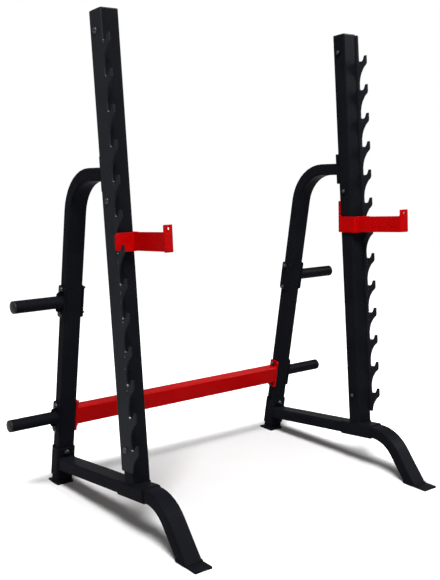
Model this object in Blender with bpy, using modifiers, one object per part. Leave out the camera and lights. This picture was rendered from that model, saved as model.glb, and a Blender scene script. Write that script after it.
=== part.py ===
"""Walk-in squat rack: two leaning uprights with hook plates, bent base rails and rear supports.

Metres, +Z up, +X across the rack, the open front towards -Y. The origin is on the floor, under the
middle of the rack. Each side stands on its own empties: one on the upright's line, one on the rear
support's line and one in the seat that carries the spotter.
"""

import math

import bmesh
import bpy
from mathutils import Vector

GAP = 0.0003  # what touching pieces keep between them
SLIDE_GAP = 0.0012  # round the upright, where the spotter hangs loose
OVERRUN = 0.03  # how far a tube is drawn past the plane that trims it

# Floor plan
FOOT_SPAN = 1.015  # front edge of the front feet to rear edge of the rear feet
UPRIGHT_SPACING = 1.1384  # between the centre lines of the two side frames
UPRIGHT_SETBACK = 0.3625  # front edge of the feet to the upright's front face at its base
LEG_SETBACK = 0.0790  # front edge of the feet to the middle of the leg, at the floor
SUPPORT_INSET = 0.0510  # rear edge of the feet to the middle of the rear support, at the floor

# Tubes
TUBE_WIDTH = 0.0705
TUBE_DEPTH = 0.0470  # of the base rails and the rear supports
TUBE_WALL = 0.003
TUBE_CORNER = 0.0065
UPRIGHT_DEPTH = 0.063
UPRIGHT_LENGTH = 1.6210
UPRIGHT_LEAN = math.radians(6.19)
SLEEVE_WALL = 0.0046  # of the base sleeves and the rear sockets
SLEEVE_LENGTH = 0.165
SLEEVE_FRONT = 0.057  # how far the sleeve reaches in front of the upright
RAIL_HEIGHT = 0.1565  # middle of the rail, below the upright's front face
RAIL_SLOPE = math.radians(6.69)
RAIL_BEND = 0.150  # radius of the middle line
LEG_SLOPE = math.radians(50.2)
SUPPORT_TILT = math.radians(8.41)
SUPPORT_BEND = 0.165
SUPPORT_RUN_HEIGHT = 1.2535  # middle of the upper run, where it meets the upright
SUPPORT_RUN_DROP = math.radians(3)  # the upper run's fall towards the rear
SOCKET_BOTTOM = 0.036
SOCKET_HEIGHT = 0.160
SOCKET_BOLT_INSET = 0.017  # below the socket's top
FLANGE_HEIGHT = 0.1225
FLANGE_WIDTH = 0.0765
FLANGE_WALL = 0.009

# Feet
FOOT_WALL = 0.006
FRONT_FOOT_LENGTH = 0.106
REAR_FOOT_LENGTH = 0.084
FOOT_CORNER = 0.004

# Upright caps
CAP_RIM = 0.0035
CAP_RISE = 0.0016
CAP_PLUG = 0.016
CAP_SKIRT = 0.0022

# Hook plates: (reach in front of the upright, height along it), from a seat's lowest point
HOOK_COUNT = 13
LOWEST_SEAT = 0.1275
HIGHEST_SEAT_INSET = 0.1082  # below the upright's top
PLATE_WALL = 0.006
PLATE_BOTTOM = 0.0450
PLATE_EDGE = 0.008
PLATE_TOP_CORNER = 0.007
SEAT_BACK_RADIUS = 0.010
SEAT_FRONT = 0.0305  # where the seat's floor would meet the tip's inner slope
SEAT_FRONT_RADIUS = 0.011
HOOK_REACH = 0.0510
HOOK_TIP_WIDTH = 0.0105
HOOK_TIP_HEIGHT = 0.0208
HOOK_TIP_CORNER = 0.0015
HOOK_NOSE_DROP = 0.006
HOOK_UNDERSIDE = ((0.0485, -0.0137), (0.0335, -0.0258), (0.0200, -0.0445), (0.0130, -0.0600))
HOOK_ROOT_DROP = 0.083
LOW_BOLT_HEIGHT = 0.1225  # along the upright
MIDDLE_BOLT_DROP = 0.0317  # below the support flange
TOP_BOLT_INSET = 0.0675  # below the upright's top

# Fasteners
BOLT_RADIUS = 0.005
BOLT_HEAD_RADIUS = 0.0095
BOLT_HEAD_HEIGHT = 0.0055
SOCKET_KEY_RADIUS = 0.0036
SOCKET_KEY_DEPTH = 0.003
NUT_RADIUS = 0.0098
NUT_HEIGHT = 0.0075
BOLT_END = 0.0035  # what stands out of the nut
PEG_BOLT_HEAD_HEIGHT = 0.0080
PEG_BOLT_END = 0.009
BOLT_CHAMFER = 0.001
BORE_CLEARANCE = 1.2  # a drill's length, as a share of the tube it crosses

# Storage pegs, their plates and the cross member
PEG_RADIUS = 0.0238
PEG_WALL = 0.003
PEG_LENGTH = 0.2028  # plate to the top of the cap
PEG_CAP_RIM = 0.004
PEG_CAP_RISE = 0.0065
PEG_CAP_PLUG = 0.018
PEG_PLATE_WALL = 0.006
PEG_PLATE_WIDTH = 0.0510
PEG_PLATE_CORNER = 0.009
UPPER_PLATE_REACH = (0.0630, 0.0610)  # below and above its peg's middle
LOWER_PLATE_REACH = (0.0660, 0.0615)
PLATE_BOLT_INSET = 0.0125
UPPER_PEG_HEIGHT = 0.7642
LOWER_PEG_HEIGHT = 0.2917
GUSSET_REACH = 0.021
GUSSET_HEIGHT = 0.0155
GUSSET_ROUND = 0.011
GUSSET_WALL = 0.005
GUSSET_ROOT = 0.001  # how deep a gusset is let into its plate
PLATE_CORNER = 0.004
CROSS_HEIGHT = 0.0750
CROSS_DROP = 0.0024  # its middle below the lower pegs'

# Spotters: each one tips forward in its seat until its rear flange bears on the upright's back
SPOTTER_CLEARANCE = 0.015  # the least between a spotter's rear flange and the support flange
SPOTTER_TIP = math.radians(2.8)
STRIP_REACH = 0.0222  # the upright's front face to the middle of the strip, at the seat
STRIP_WALL = 0.0058
STRIP_HEIGHT = 0.0652
STRIP_DROP = 0.005  # the strip's lower edge below the seat, beside the hook plate
STRIP_BEND = 0.004  # inner radius
TONGUE_SEAT_GAP = 0.0009
TONGUE_REACH = 0.013  # beyond the hook plate
TONGUE_SHOULDER = 0.005  # how far inside the upright's outer face the notch begins
TONGUE_TOP_CORNER = 0.014
TONGUE_LOW_CORNER = 0.006
NOTCH_CORNER = 0.002
REAR_REACH = 0.046
REAR_HEIGHT = 0.130
REAR_CORNER = 0.012
ARM_DIP = math.radians(1.4)  # the arm's slope below the upright's normal
ARM_WALL = 0.006
ARM_INSET = 0.0130  # from the upright's inner face to the arm
ARM_HEIGHT = 0.0638
ARM_DROP = 0.0034  # the arm's lower edge below the seat
ARM_REACH = 0.2575  # the upright's front face to the tab's front
TAB_WIDTH = 0.037
TAB_HEIGHT = 0.0888
TAB_CORNER = 0.006
TAB_HOLE_RADIUS = 0.005
TAB_HOLE_INSET = 0.0125

# Fineness of arcs
ARC_STEP = math.radians(45)
BEND_STEP = math.radians(9)
TURNED_STEPS = 24
BOLT_STEPS = 12

# Worked out from the sizes above
FLAT_SIDE = (math.pi / 2, 0, math.pi / 2)  # lays an outline drawn (backwards, up) in the side plane
FRONT = -FOOT_SPAN / 2
BACK = FOOT_SPAN / 2
UPRIGHT_Y = FRONT + UPRIGHT_SETBACK
SUPPORT_Y = BACK - SUPPORT_INSET
HALF_SPACING = UPRIGHT_SPACING / 2
HALF_TUBE = TUBE_WIDTH / 2
SLEEVE_TOP = TUBE_DEPTH / 2 + GAP + SLEEVE_WALL
UPRIGHT_Z = RAIL_HEIGHT + SLEEVE_TOP / math.cos(RAIL_SLOPE)
HOOK_PLATE_OUTER = HALF_TUBE + GAP + PLATE_WALL
STRIP_TOP = STRIP_HEIGHT - STRIP_DROP
REAR_TOP = REAR_HEIGHT - STRIP_DROP
HOOK_PITCH = (UPRIGHT_LENGTH - HIGHEST_SEAT_INSET - LOWEST_SEAT) / (HOOK_COUNT - 1)
FLANGE_BACK = UPRIGHT_DEPTH + GAP + FLANGE_WALL
FLANGE_RISE = SUPPORT_RUN_HEIGHT - UPRIGHT_Z + FLANGE_BACK * math.sin(UPRIGHT_LEAN)
FLANGE_CENTRE = FLANGE_RISE / math.cos(UPRIGHT_LEAN)  # along the upright
FLANGE_BOTTOM = FLANGE_CENTRE - FLANGE_HEIGHT / 2
HOOK_BOLTS = (LOW_BOLT_HEIGHT, FLANGE_BOTTOM - MIDDLE_BOLT_DROP, UPRIGHT_LENGTH - TOP_BOLT_INSET)
SEAT_LIMIT = FLANGE_BOTTOM - SPOTTER_CLEARANCE - REAR_TOP  # the spotters hang in the highest seat below
SPOTTER_SEAT = LOWEST_SEAT + math.floor((SEAT_LIMIT - LOWEST_SEAT) / HOOK_PITCH) * HOOK_PITCH
UPPER_PLATE = (UPPER_PEG_HEIGHT - UPPER_PLATE_REACH[0], UPPER_PEG_HEIGHT + UPPER_PLATE_REACH[1])
LOWER_PLATE = (LOWER_PEG_HEIGHT - LOWER_PLATE_REACH[0], LOWER_PEG_HEIGHT + LOWER_PLATE_REACH[1])
CROSS_CENTRE = LOWER_PEG_HEIGHT - CROSS_DROP
FLOOR_TO_TUBE = FOOT_WALL + GAP
SOCKET_BOLT_HEIGHT = SOCKET_HEIGHT - SOCKET_BOLT_INSET
PLATE_FACE = HALF_TUBE + GAP + PEG_PLATE_WALL  # a side plate's outer face


# Materials

def material(name, colour, roughness, metallic):
    """A plain surface with the given base colour, roughness and metallic value."""
    made = bpy.data.materials.new(name)
    made.use_nodes = True
    shader = made.node_tree.nodes["Principled BSDF"]
    shader.inputs["Base Color"].default_value = (*colour, 1.0)
    shader.inputs["Roughness"].default_value = roughness
    shader.inputs["Metallic"].default_value = metallic
    made.diffuse_color = (*colour, 1.0)
    return made


def make_materials():
    """Every finish on the rack, by the name of what wears it."""
    return {
        "frame": material("graphite_powder_coat", (0.020, 0.023, 0.028), 0.45, 0.3),
        "hooks": material("graphite_plate_coat", (0.026, 0.030, 0.036), 0.42, 0.3),
        "red": material("red_powder_coat", (0.42, 0.004, 0.004), 0.35, 0.0),
        "cap": material("black_plastic", (0.012, 0.012, 0.013), 0.5, 0.0),
        "bolt": material("dark_zinc", (0.10, 0.10, 0.11), 0.3, 1.0),
    }


# Scene helpers

def clear_scene():
    """Remove every object and collection, so that the rack is alone in the file."""
    for thing in list(bpy.data.objects):
        bpy.data.objects.remove(thing, do_unlink=True)
    for group in list(bpy.data.collections):
        bpy.data.collections.remove(group)


def new_collection(name):
    group = bpy.data.collections.new(name)
    bpy.context.scene.collection.children.link(group)
    return group


def put(thing, parent, place=(0, 0, 0), turn=(0, 0, 0), group="squat_rack"):
    """Link an object to its collection and set it under a parent."""
    bpy.data.collections[group].objects.link(thing)
    thing.parent = parent
    thing.location = place
    thing.rotation_euler = turn
    return thing


def as_helper(thing):
    """Keep a cutter or a guide out of the finished object."""
    thing.hide_render = True
    thing.display_type = "WIRE"
    return thing


def finish(thing, surface):
    """Give an object its material, and smooth shading where its faces meet gently."""
    thing.data.materials.clear()
    thing.data.materials.append(surface)
    if thing.type == "MESH":
        thing.data.shade_smooth()
        thing.data.set_sharp_from_angle(angle=math.radians(35))
    return thing


def solidified(curve_object):
    """The mesh of a curve object, with its caps welded on, in the curve's place."""
    bpy.context.view_layer.update()
    graph = bpy.context.evaluated_depsgraph_get()
    mesh = bpy.data.meshes.new_from_object(curve_object.evaluated_get(graph))
    work = bmesh.new()
    work.from_mesh(mesh)
    bmesh.ops.remove_doubles(work, verts=work.verts, dist=1e-6)
    bmesh.ops.recalc_face_normals(work, faces=work.faces)
    work.to_mesh(mesh)
    work.free()
    name = curve_object.name
    group = curve_object.users_collection[0]
    parent = curve_object.parent
    world = curve_object.matrix_world.copy()
    bpy.data.objects.remove(curve_object)
    solid = bpy.data.objects.new(name, mesh)
    mesh.name = name
    group.objects.link(solid)
    solid.parent = parent
    solid.matrix_world = world
    bpy.context.view_layer.update()
    return solid


# Outlines

def arc_corner(before, corner, after, radius, step):
    """Points of the arc that rounds one corner of a path; the bare corner where the radius is 0."""
    before, corner, after = Vector(before), Vector(corner), Vector(after)
    arriving = (corner - before).normalized()
    leaving = (after - corner).normalized()
    turn = arriving.angle(leaving)
    if radius <= 0 or turn < 1e-4:
        return [tuple(corner)]
    reach = radius * math.tan(turn / 2)
    start = corner - arriving * reach
    side = leaving - arriving * leaving.dot(arriving)
    centre = start + side.normalized() * radius
    steps = max(2, math.ceil(turn / step))
    spoke = start - centre
    points = []
    for i in range(steps + 1):
        angle = turn * i / steps
        points.append(tuple(centre + spoke * math.cos(angle) + arriving * radius * math.sin(angle)))
    return points


def rounded_outline(corners, step=ARC_STEP):
    """A closed outline from corners given as (x, y, radius)."""
    points = []
    for i, (x, y, radius) in enumerate(corners):
        before = corners[i - 1][:2]
        after = corners[(i + 1) % len(corners)][:2]
        points += arc_corner(before, (x, y), after, radius, step)
    return points


def rounded_path(corners, radius, step=BEND_STEP):
    """An open path through the corners, with every inner corner bent to the radius."""
    points = [corners[0]]
    for before, corner, after in zip(corners, corners[1:], corners[2:]):
        points += arc_corner(before, corner, after, radius, step)
    return points + [corners[-1]]


def rounded_box(width, height, radius):
    """A rectangle about the origin with round corners."""
    x, y = width / 2, height / 2
    return rounded_outline([(x, -y, radius), (x, y, radius), (-x, y, radius), (-x, -y, radius)])


def circle(x, y, radius, steps):
    turns = [2 * math.pi * i / steps for i in range(steps)]
    return [(x + radius * math.cos(a), y + radius * math.sin(a)) for a in turns]


# Shapes

def poly_curve(name, outlines, closed=True):
    """A flat curve with one straight-edged spline for each outline."""
    curve = bpy.data.curves.new(name, "CURVE")
    curve.dimensions = "2D"
    for outline in outlines:
        spline = curve.splines.new("POLY")
        spline.points.add(len(outline) - 1)
        for point, (x, y) in zip(spline.points, outline):
            point.co = (x, y, 0, 1)
        spline.use_cyclic_u = closed
    return curve


def flat_piece(name, outlines, thickness, parent, place=(0, 0, 0), turn=(0, 0, 0), group="squat_rack"):
    """A plate or a straight tube: the outlines, later ones as holes, thickened both ways."""
    curve = poly_curve(name, outlines)
    curve.fill_mode = "BOTH"
    curve.extrude = thickness / 2
    return solidified(put(bpy.data.objects.new(name, curve), parent, place, turn, group))


def tube_outlines(width, depth, wall, corner):
    inner = max(corner - wall, 0.0005)
    return [rounded_box(width, depth, corner), rounded_box(width - 2 * wall, depth - 2 * wall, inner)]


def bent_tube(name, path, parent, place):
    """A tube swept along a path drawn (backwards, up) in the side plane."""
    section = poly_curve(name + "_section", [rounded_box(TUBE_DEPTH, TUBE_WIDTH, TUBE_CORNER)])
    guide = as_helper(put(bpy.data.objects.new(name + "_section", section), None, group="cutters"))
    curve = poly_curve(name, [path], closed=False)
    curve.bevel_mode = "OBJECT"
    curve.bevel_object = guide
    tube = solidified(put(bpy.data.objects.new(name, curve), parent, place, FLAT_SIDE))
    bpy.data.objects.remove(guide)
    wall = tube.modifiers.new("wall", "SOLIDIFY")
    wall.thickness = TUBE_WALL
    wall.offset = -1
    wall.use_even_offset = True
    return tube


def turned_mesh(name, profile, steps):
    """A solid of revolution about its own Z axis; the profile runs (radius, height) down its side."""
    mesh = bpy.data.meshes.new(name)
    edges = [(i, i + 1) for i in range(len(profile) - 1)]
    mesh.from_pydata([(radius, 0, height) for radius, height in profile], edges, [])
    thing = bpy.data.objects.new(name, mesh)
    screw = thing.modifiers.new("turn", "SCREW")
    screw.steps = steps
    screw.render_steps = steps
    screw.use_merge_vertices = True
    screw.merge_threshold = 0.0001
    return thing


def primitive(name, build, **sizes):
    """An object from one of bmesh's own solids."""
    mesh = bpy.data.meshes.new(name)
    work = bmesh.new()
    build(work, **sizes)
    work.to_mesh(mesh)
    work.free()
    return bpy.data.objects.new(name, mesh)


def boolean(thing, tool, operation="DIFFERENCE"):
    """Cut with, or join, a helper object."""
    made = thing.modifiers.new(tool.name, "BOOLEAN")
    made.operation = operation
    made.solver = "EXACT"
    made.object = as_helper(tool)
    return thing


def trim(thing, point, facing):
    """Cut off what lies beyond a plane, given in the rack's own frame."""
    size = 0.6
    block = primitive(thing.name + "_trim", bmesh.ops.create_cube, size=size)
    put(block, None, group="cutters")
    turn = Vector(facing).to_track_quat("Z", "Y")
    block.rotation_mode = "QUATERNION"
    block.rotation_quaternion = turn
    block.location = Vector(point) + turn @ Vector((0, 0, size / 2))
    return boolean(thing, block)


def drill(thing, parent, place, turn, across, radius=BOLT_RADIUS + GAP):
    """A round hole along the drill's own Z axis, through a piece that is so far across."""
    bit = primitive(
        thing.name + "_drill", bmesh.ops.create_cone, cap_ends=True, segments=BOLT_STEPS,
        radius1=radius, radius2=radius, depth=across * BORE_CLEARANCE,
    )
    return boolean(thing, put(bit, parent, place, turn, "cutters"))


# Empties that the pieces hang on

def axis_empty(name, parent, place, lean):
    """An empty whose Z axis runs along a leaning member."""
    empty = bpy.data.objects.new(name, None)
    empty.empty_display_size = 0.05
    put(empty, parent, place, (lean, 0, 0))
    bpy.context.view_layer.update()
    return empty


class Side:
    """One side frame: its name, its sign along X and the empties that carry its pieces."""

    def __init__(self, name, sign, rack):
        self.name = name
        self.sign = sign
        self.x = sign * HALF_SPACING
        self.frame = axis_empty(f"{name}_frame", rack, (self.x, 0, 0), 0)
        self.upright = axis_empty(
            f"{name}_upright_line", self.frame, (0, UPRIGHT_Y, UPRIGHT_Z), -UPRIGHT_LEAN
        )
        self.support = axis_empty(
            f"{name}_support_line", self.frame, (0, SUPPORT_Y, 0), SUPPORT_TILT
        )
        self.seat = axis_empty(
            f"{name}_spotter_seat", self.upright, (0, -STRIP_REACH, SPOTTER_SEAT), SPOTTER_TIP
        )
        self.arm = axis_empty(
            f"{name}_arm_line", self.upright, (0, -STRIP_REACH, SPOTTER_SEAT - ARM_DROP), ARM_DIP
        )

    def label(self, piece):
        return f"{piece}_{self.name}"

    def outwards(self, distance):
        """A distance from the side frame's middle plane, away from the rack's middle."""
        return self.sign * distance

    def face_out(self):
        """The turn that points a bolt's or peg's Z axis away from the rack's middle."""
        return (0, self.sign * math.pi / 2, 0)


# Uprights

def rail_height_at(y):
    """Height of the rail's middle line."""
    return RAIL_HEIGHT - math.tan(RAIL_SLOPE) * (y - UPRIGHT_Y)


def rail_normal():
    return Vector((0, math.sin(RAIL_SLOPE), math.cos(RAIL_SLOPE)))


def make_upright(side, surface):
    """The leaning tube, cut at its foot to sit on the sleeve, with its through holes."""
    tube = flat_piece(
        side.label("upright"), tube_outlines(TUBE_WIDTH, UPRIGHT_DEPTH, TUBE_WALL, TUBE_CORNER),
        UPRIGHT_LENGTH + OVERRUN, side.upright,
        (0, UPRIGHT_DEPTH / 2, (UPRIGHT_LENGTH - OVERRUN) / 2),
    )
    rest = Vector((side.x, UPRIGHT_Y, UPRIGHT_Z)) + rail_normal() * GAP
    trim(tube, rest, -rail_normal())
    for height in HOOK_BOLTS:
        place = (0, UPRIGHT_DEPTH / 2, height)
        drill(tube, side.upright, place, side.face_out(), TUBE_WIDTH)
    return finish(tube, surface)


def make_upright_cap(side, surface):
    """A plug in the tube's open top with a slightly domed rim."""
    bore_width = TUBE_WIDTH - 2 * (TUBE_WALL + GAP)
    bore_depth = UPRIGHT_DEPTH - 2 * (TUBE_WALL + GAP)
    corner = max(TUBE_CORNER - TUBE_WALL, 0.001)
    middle = (0, UPRIGHT_DEPTH / 2)
    rim = flat_piece(
        side.label("upright_cap"), [rounded_box(TUBE_WIDTH, UPRIGHT_DEPTH, TUBE_CORNER)],
        CAP_RIM, side.upright, (*middle, UPRIGHT_LENGTH + GAP + CAP_RIM / 2),
    )
    slope = 4 * CAP_RISE
    round_over = rim.modifiers.new("round_over", "BEVEL")
    round_over.width = CAP_RISE
    round_over.segments = 2
    round_over.limit_method = "ANGLE"
    round_over.angle_limit = math.radians(60)
    dome = flat_piece(
        side.label("upright_cap_dome"),
        [rounded_box(TUBE_WIDTH - slope, UPRIGHT_DEPTH - slope, TUBE_CORNER)],
        2 * CAP_RISE, side.upright, (*middle, UPRIGHT_LENGTH + GAP + CAP_RIM), group="cutters",
    )
    boolean(rim, dome, "UNION")
    overlap = CAP_RIM / 2
    plug = flat_piece(
        side.label("upright_cap_plug"), tube_outlines(bore_width, bore_depth, CAP_SKIRT, corner),
        CAP_PLUG + overlap, side.upright,
        (*middle, UPRIGHT_LENGTH + GAP + overlap - (CAP_PLUG + overlap) / 2), group="cutters",
    )
    return finish(boolean(rim, plug, "UNION"), surface)


# Hook plates

def hook_corners(seat):
    """One hook's corners from its root up to its seat, as (reach, height, radius)."""
    under = [(reach, seat + drop, 0) for reach, drop in reversed(HOOK_UNDERSIDE)]
    tip = seat + HOOK_TIP_HEIGHT
    return [
        (PLATE_EDGE, seat - HOOK_ROOT_DROP, 0),
        *under,
        (HOOK_REACH, seat - HOOK_NOSE_DROP, 0),
        (HOOK_REACH, tip, HOOK_TIP_CORNER),
        (HOOK_REACH - HOOK_TIP_WIDTH, tip, HOOK_TIP_CORNER),
        (SEAT_FRONT, seat, SEAT_FRONT_RADIUS),
        (PLATE_EDGE, seat, SEAT_BACK_RADIUS),
    ]


def make_hook_plate(side, surface):
    """The toothed plate on the upright's outer face, with a seat at every pitch."""
    rear = -UPRIGHT_DEPTH
    corners = [(rear, PLATE_BOTTOM, PLATE_CORNER), (PLATE_EDGE, PLATE_BOTTOM, PLATE_CORNER)]
    first = hook_corners(LOWEST_SEAT)
    corners += [corner for corner in first if corner[1] > PLATE_BOTTOM]
    for i in range(1, HOOK_COUNT):
        corners += hook_corners(LOWEST_SEAT + i * HOOK_PITCH)
    corners += [(PLATE_EDGE, UPRIGHT_LENGTH, PLATE_TOP_CORNER), (rear, UPRIGHT_LENGTH, PLATE_CORNER)]
    outline = rounded_outline([(-reach, height, radius) for reach, height, radius in corners])
    holes = [
        circle(UPRIGHT_DEPTH / 2, height, BOLT_RADIUS + GAP, BOLT_STEPS) for height in HOOK_BOLTS
    ]
    place = (side.outwards(HALF_TUBE + GAP + PLATE_WALL / 2), 0, 0)
    plate = flat_piece(
        side.label("hook_plate"), [outline, *holes], PLATE_WALL, side.upright, place, FLAT_SIDE
    )
    return finish(plate, surface)


# Fasteners

def make_bolt(name, parent, place, turn, grip, surface, top=BOLT_HEAD_HEIGHT, tail=BOLT_END):
    """A button-head bolt and its nut on one axis; the place is where the head sits."""
    end = grip + 2 * GAP + NUT_HEIGHT + tail
    angles = [math.radians(degrees) for degrees in (28, 60)]
    crown = [(BOLT_HEAD_RADIUS * math.sin(a), top * math.cos(a)) for a in angles]
    profile = [
        (0, crown[0][1]), *crown, (BOLT_HEAD_RADIUS, 0), (BOLT_RADIUS, 0),
        (BOLT_RADIUS, -end + BOLT_CHAMFER), (BOLT_RADIUS - BOLT_CHAMFER, -end), (0, -end),
    ]
    bolt = put(turned_mesh(name, profile, BOLT_STEPS), parent, place, turn)
    key = primitive(
        name + "_key", bmesh.ops.create_cone, cap_ends=True, segments=6,
        radius1=SOCKET_KEY_RADIUS, radius2=SOCKET_KEY_RADIUS, depth=2 * SOCKET_KEY_DEPTH,
    )
    put(key, bolt, (0, 0, crown[0][1]), group="cutters")
    boolean(bolt, key)
    nut = primitive(
        name + "_nut", bmesh.ops.create_cone, cap_ends=True, segments=6,
        radius1=NUT_RADIUS, radius2=NUT_RADIUS, depth=NUT_HEIGHT,
    )
    put(nut, bolt, (0, 0, -grip - 2 * GAP - NUT_HEIGHT / 2), group="cutters")
    return finish(boolean(bolt, nut, "UNION"), surface)


def make_hook_plate_bolts(side, surface):
    """Through bolts that hold the hook plate to the upright, numbered from the top."""
    grip = PLATE_WALL + GAP + TUBE_WIDTH
    for number, height in enumerate(reversed(HOOK_BOLTS), start=1):
        place = (side.outwards(HOOK_PLATE_OUTER + GAP), UPRIGHT_DEPTH / 2, height)
        name = side.label("hook_plate_bolt") + f"_{number}"
        make_bolt(name, side.upright, place, side.face_out(), grip, surface)


# Base rails, sleeves and feet

def rail_path():
    """The rail's middle line (backwards, up): rear end, front bend and leg end."""
    leg_y = FRONT + LEG_SETBACK
    rail_rise, leg_rise = math.tan(RAIL_SLOPE), math.tan(LEG_SLOPE)
    corner_y = (RAIL_HEIGHT + rail_rise * UPRIGHT_Y + leg_rise * leg_y) / (leg_rise + rail_rise)
    return rounded_path(
        [(BACK, rail_height_at(BACK)), (corner_y, rail_height_at(corner_y)),
         (leg_y - OVERRUN / leg_rise, -OVERRUN)],
        RAIL_BEND,
    )


def support_front():
    """A point on the rear support's front face line and the way that face looks."""
    facing = Vector((0, -math.cos(SUPPORT_TILT), -math.sin(SUPPORT_TILT)))
    return Vector((0, SUPPORT_Y, 0)) + facing * (TUBE_DEPTH / 2), facing


def make_base_rail(side, surface):
    """The rail from the rear socket to the front bend, with its leg down to the front foot."""
    rail = bent_tube(side.label("base_rail"), rail_path(), side.frame, (0, 0, 0))
    trim(rail, (side.x, FRONT + LEG_SETBACK, FLOOR_TO_TUBE), (0, 0, -1))
    point, facing = support_front()
    socket_face = point + facing * (2 * GAP + SLEEVE_WALL) + Vector((side.x, 0, 0))
    trim(rail, socket_face, -facing)
    return finish(rail, surface)


def make_base_sleeve(side, surface):
    """The short tube that hugs the rail and carries the upright."""
    bore_width = TUBE_WIDTH + 2 * GAP
    bore_depth = TUBE_DEPTH + 2 * GAP
    outline = rounded_box(
        bore_width + 2 * SLEEVE_WALL, bore_depth + 2 * SLEEVE_WALL, TUBE_CORNER + SLEEVE_WALL
    )
    bore = rounded_box(bore_width, bore_depth, TUBE_CORNER)
    middle = SLEEVE_LENGTH / 2 - SLEEVE_FRONT
    y = UPRIGHT_Y + middle * math.cos(RAIL_SLOPE)
    sleeve = flat_piece(
        side.label("base_sleeve"), [outline, bore], SLEEVE_LENGTH, side.frame,
        (0, y, rail_height_at(y)), (math.pi / 2 - RAIL_SLOPE, 0, 0),
    )
    return finish(sleeve, surface)


def make_foot_plate(side, name, middle, width, length, surface):
    """A flat steel foot under a tube's end."""
    plate = flat_piece(
        side.label(name), [rounded_box(width, length, FOOT_CORNER)], FOOT_WALL, side.frame,
        (0, middle, FOOT_WALL / 2),
    )
    return finish(plate, surface)


# Rear supports, sockets and flanges

def make_rear_support(side, surface):
    """The tube from the rear foot, leaning forward, bent over to meet the upright's back."""
    tilt, drop = math.tan(SUPPORT_TILT), math.tan(SUPPORT_RUN_DROP)
    level_y = SUPPORT_Y - tilt * SUPPORT_RUN_HEIGHT
    run_start = (side.upright.matrix_world @ Vector((0, UPRIGHT_DEPTH, FLANGE_CENTRE))).y
    fall = drop * (level_y - run_start) / (1 - drop * tilt)
    path = rounded_path(
        [(SUPPORT_Y + tilt * OVERRUN, -OVERRUN), (level_y + tilt * fall, SUPPORT_RUN_HEIGHT - fall),
         (run_start - OVERRUN, SUPPORT_RUN_HEIGHT + drop * OVERRUN)],
        SUPPORT_BEND,
    )
    tube = bent_tube(side.label("rear_support"), path, side.frame, (0, 0, 0))
    trim(tube, (side.x, SUPPORT_Y, FLOOR_TO_TUBE), (0, 0, -1))
    line = side.upright.matrix_world
    flange_back = Vector((0, UPRIGHT_DEPTH + 2 * GAP + FLANGE_WALL, FLANGE_CENTRE))
    trim(tube, line @ flange_back, line.to_3x3() @ Vector((0, -1, 0)))
    for low, high in (UPPER_PLATE, LOWER_PLATE):
        for height in bolt_heights(low, high):
            drill(tube, side.support, (0, 0, support_point(height)), side.face_out(), TUBE_WIDTH)
    socket_drill(tube, side)
    return finish(tube, surface)


def bolt_heights(low, high):
    """Heights of a peg plate's two bolts."""
    return (low + PLATE_BOLT_INSET, high - PLATE_BOLT_INSET)


def support_point(height):
    """Distance along the support's line of a point at the given height."""
    return height / math.cos(SUPPORT_TILT)


def socket_drill(tube, side):
    """The hole for the bolt that crosses the socket from front to back."""
    place = (0, 0, support_point(SOCKET_BOLT_HEIGHT))
    return drill(tube, side.support, place, (math.pi / 2, 0, 0), TUBE_DEPTH + 4 * SLEEVE_WALL)


def make_rear_socket(side, surface):
    """The short tube that hugs the support above its foot and takes the rail's rear end."""
    bore_width = TUBE_WIDTH + 2 * GAP
    bore_depth = TUBE_DEPTH + 2 * GAP
    outline = rounded_box(
        bore_width + 2 * SLEEVE_WALL, bore_depth + 2 * SLEEVE_WALL, TUBE_CORNER + SLEEVE_WALL
    )
    bore = rounded_box(bore_width, bore_depth, TUBE_CORNER)
    low, high = support_point(SOCKET_BOTTOM), support_point(SOCKET_HEIGHT)
    socket = flat_piece(
        side.label("rear_socket"), [outline, bore], high - low, side.support, (0, 0, (low + high) / 2)
    )
    socket_drill(socket, side)
    return finish(socket, surface)


def make_socket_bolt(side, surface):
    """The bolt across the socket, with its head in front."""
    reach = TUBE_DEPTH / 2 + GAP + SLEEVE_WALL
    place = (0, -reach - GAP, support_point(SOCKET_BOLT_HEIGHT))
    name = side.label("socket_bolt")
    make_bolt(name, side.support, place, (math.pi / 2, 0, 0), 2 * reach, surface)


def make_support_flange(side, surface):
    """The plate between the support's upper end and the upright's back."""
    plate = flat_piece(
        side.label("support_flange"), [rounded_box(FLANGE_WIDTH, FLANGE_HEIGHT, PLATE_CORNER)],
        FLANGE_WALL, side.upright, (0, UPRIGHT_DEPTH + GAP + FLANGE_WALL / 2, FLANGE_CENTRE),
        (math.pi / 2, 0, 0),
    )
    return finish(plate, surface)


# Plates, pegs and the cross member on the rear supports

def make_side_plate(side, name, low, high, x, surface):
    """A plate on a side face of the support, along its tilt, with its two bolt holes."""
    middle = support_point((low + high) / 2)
    length = support_point(high - low)
    holes = [
        circle(0, support_point(height) - middle, BOLT_RADIUS + GAP, BOLT_STEPS)
        for height in bolt_heights(low, high)
    ]
    outline = rounded_box(PEG_PLATE_WIDTH, length, PEG_PLATE_CORNER)
    plate = flat_piece(
        side.label(name), [outline, *holes], PEG_PLATE_WALL, side.support,
        (side.outwards(x), 0, middle), FLAT_SIDE,
    )
    return finish(plate, surface)


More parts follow.
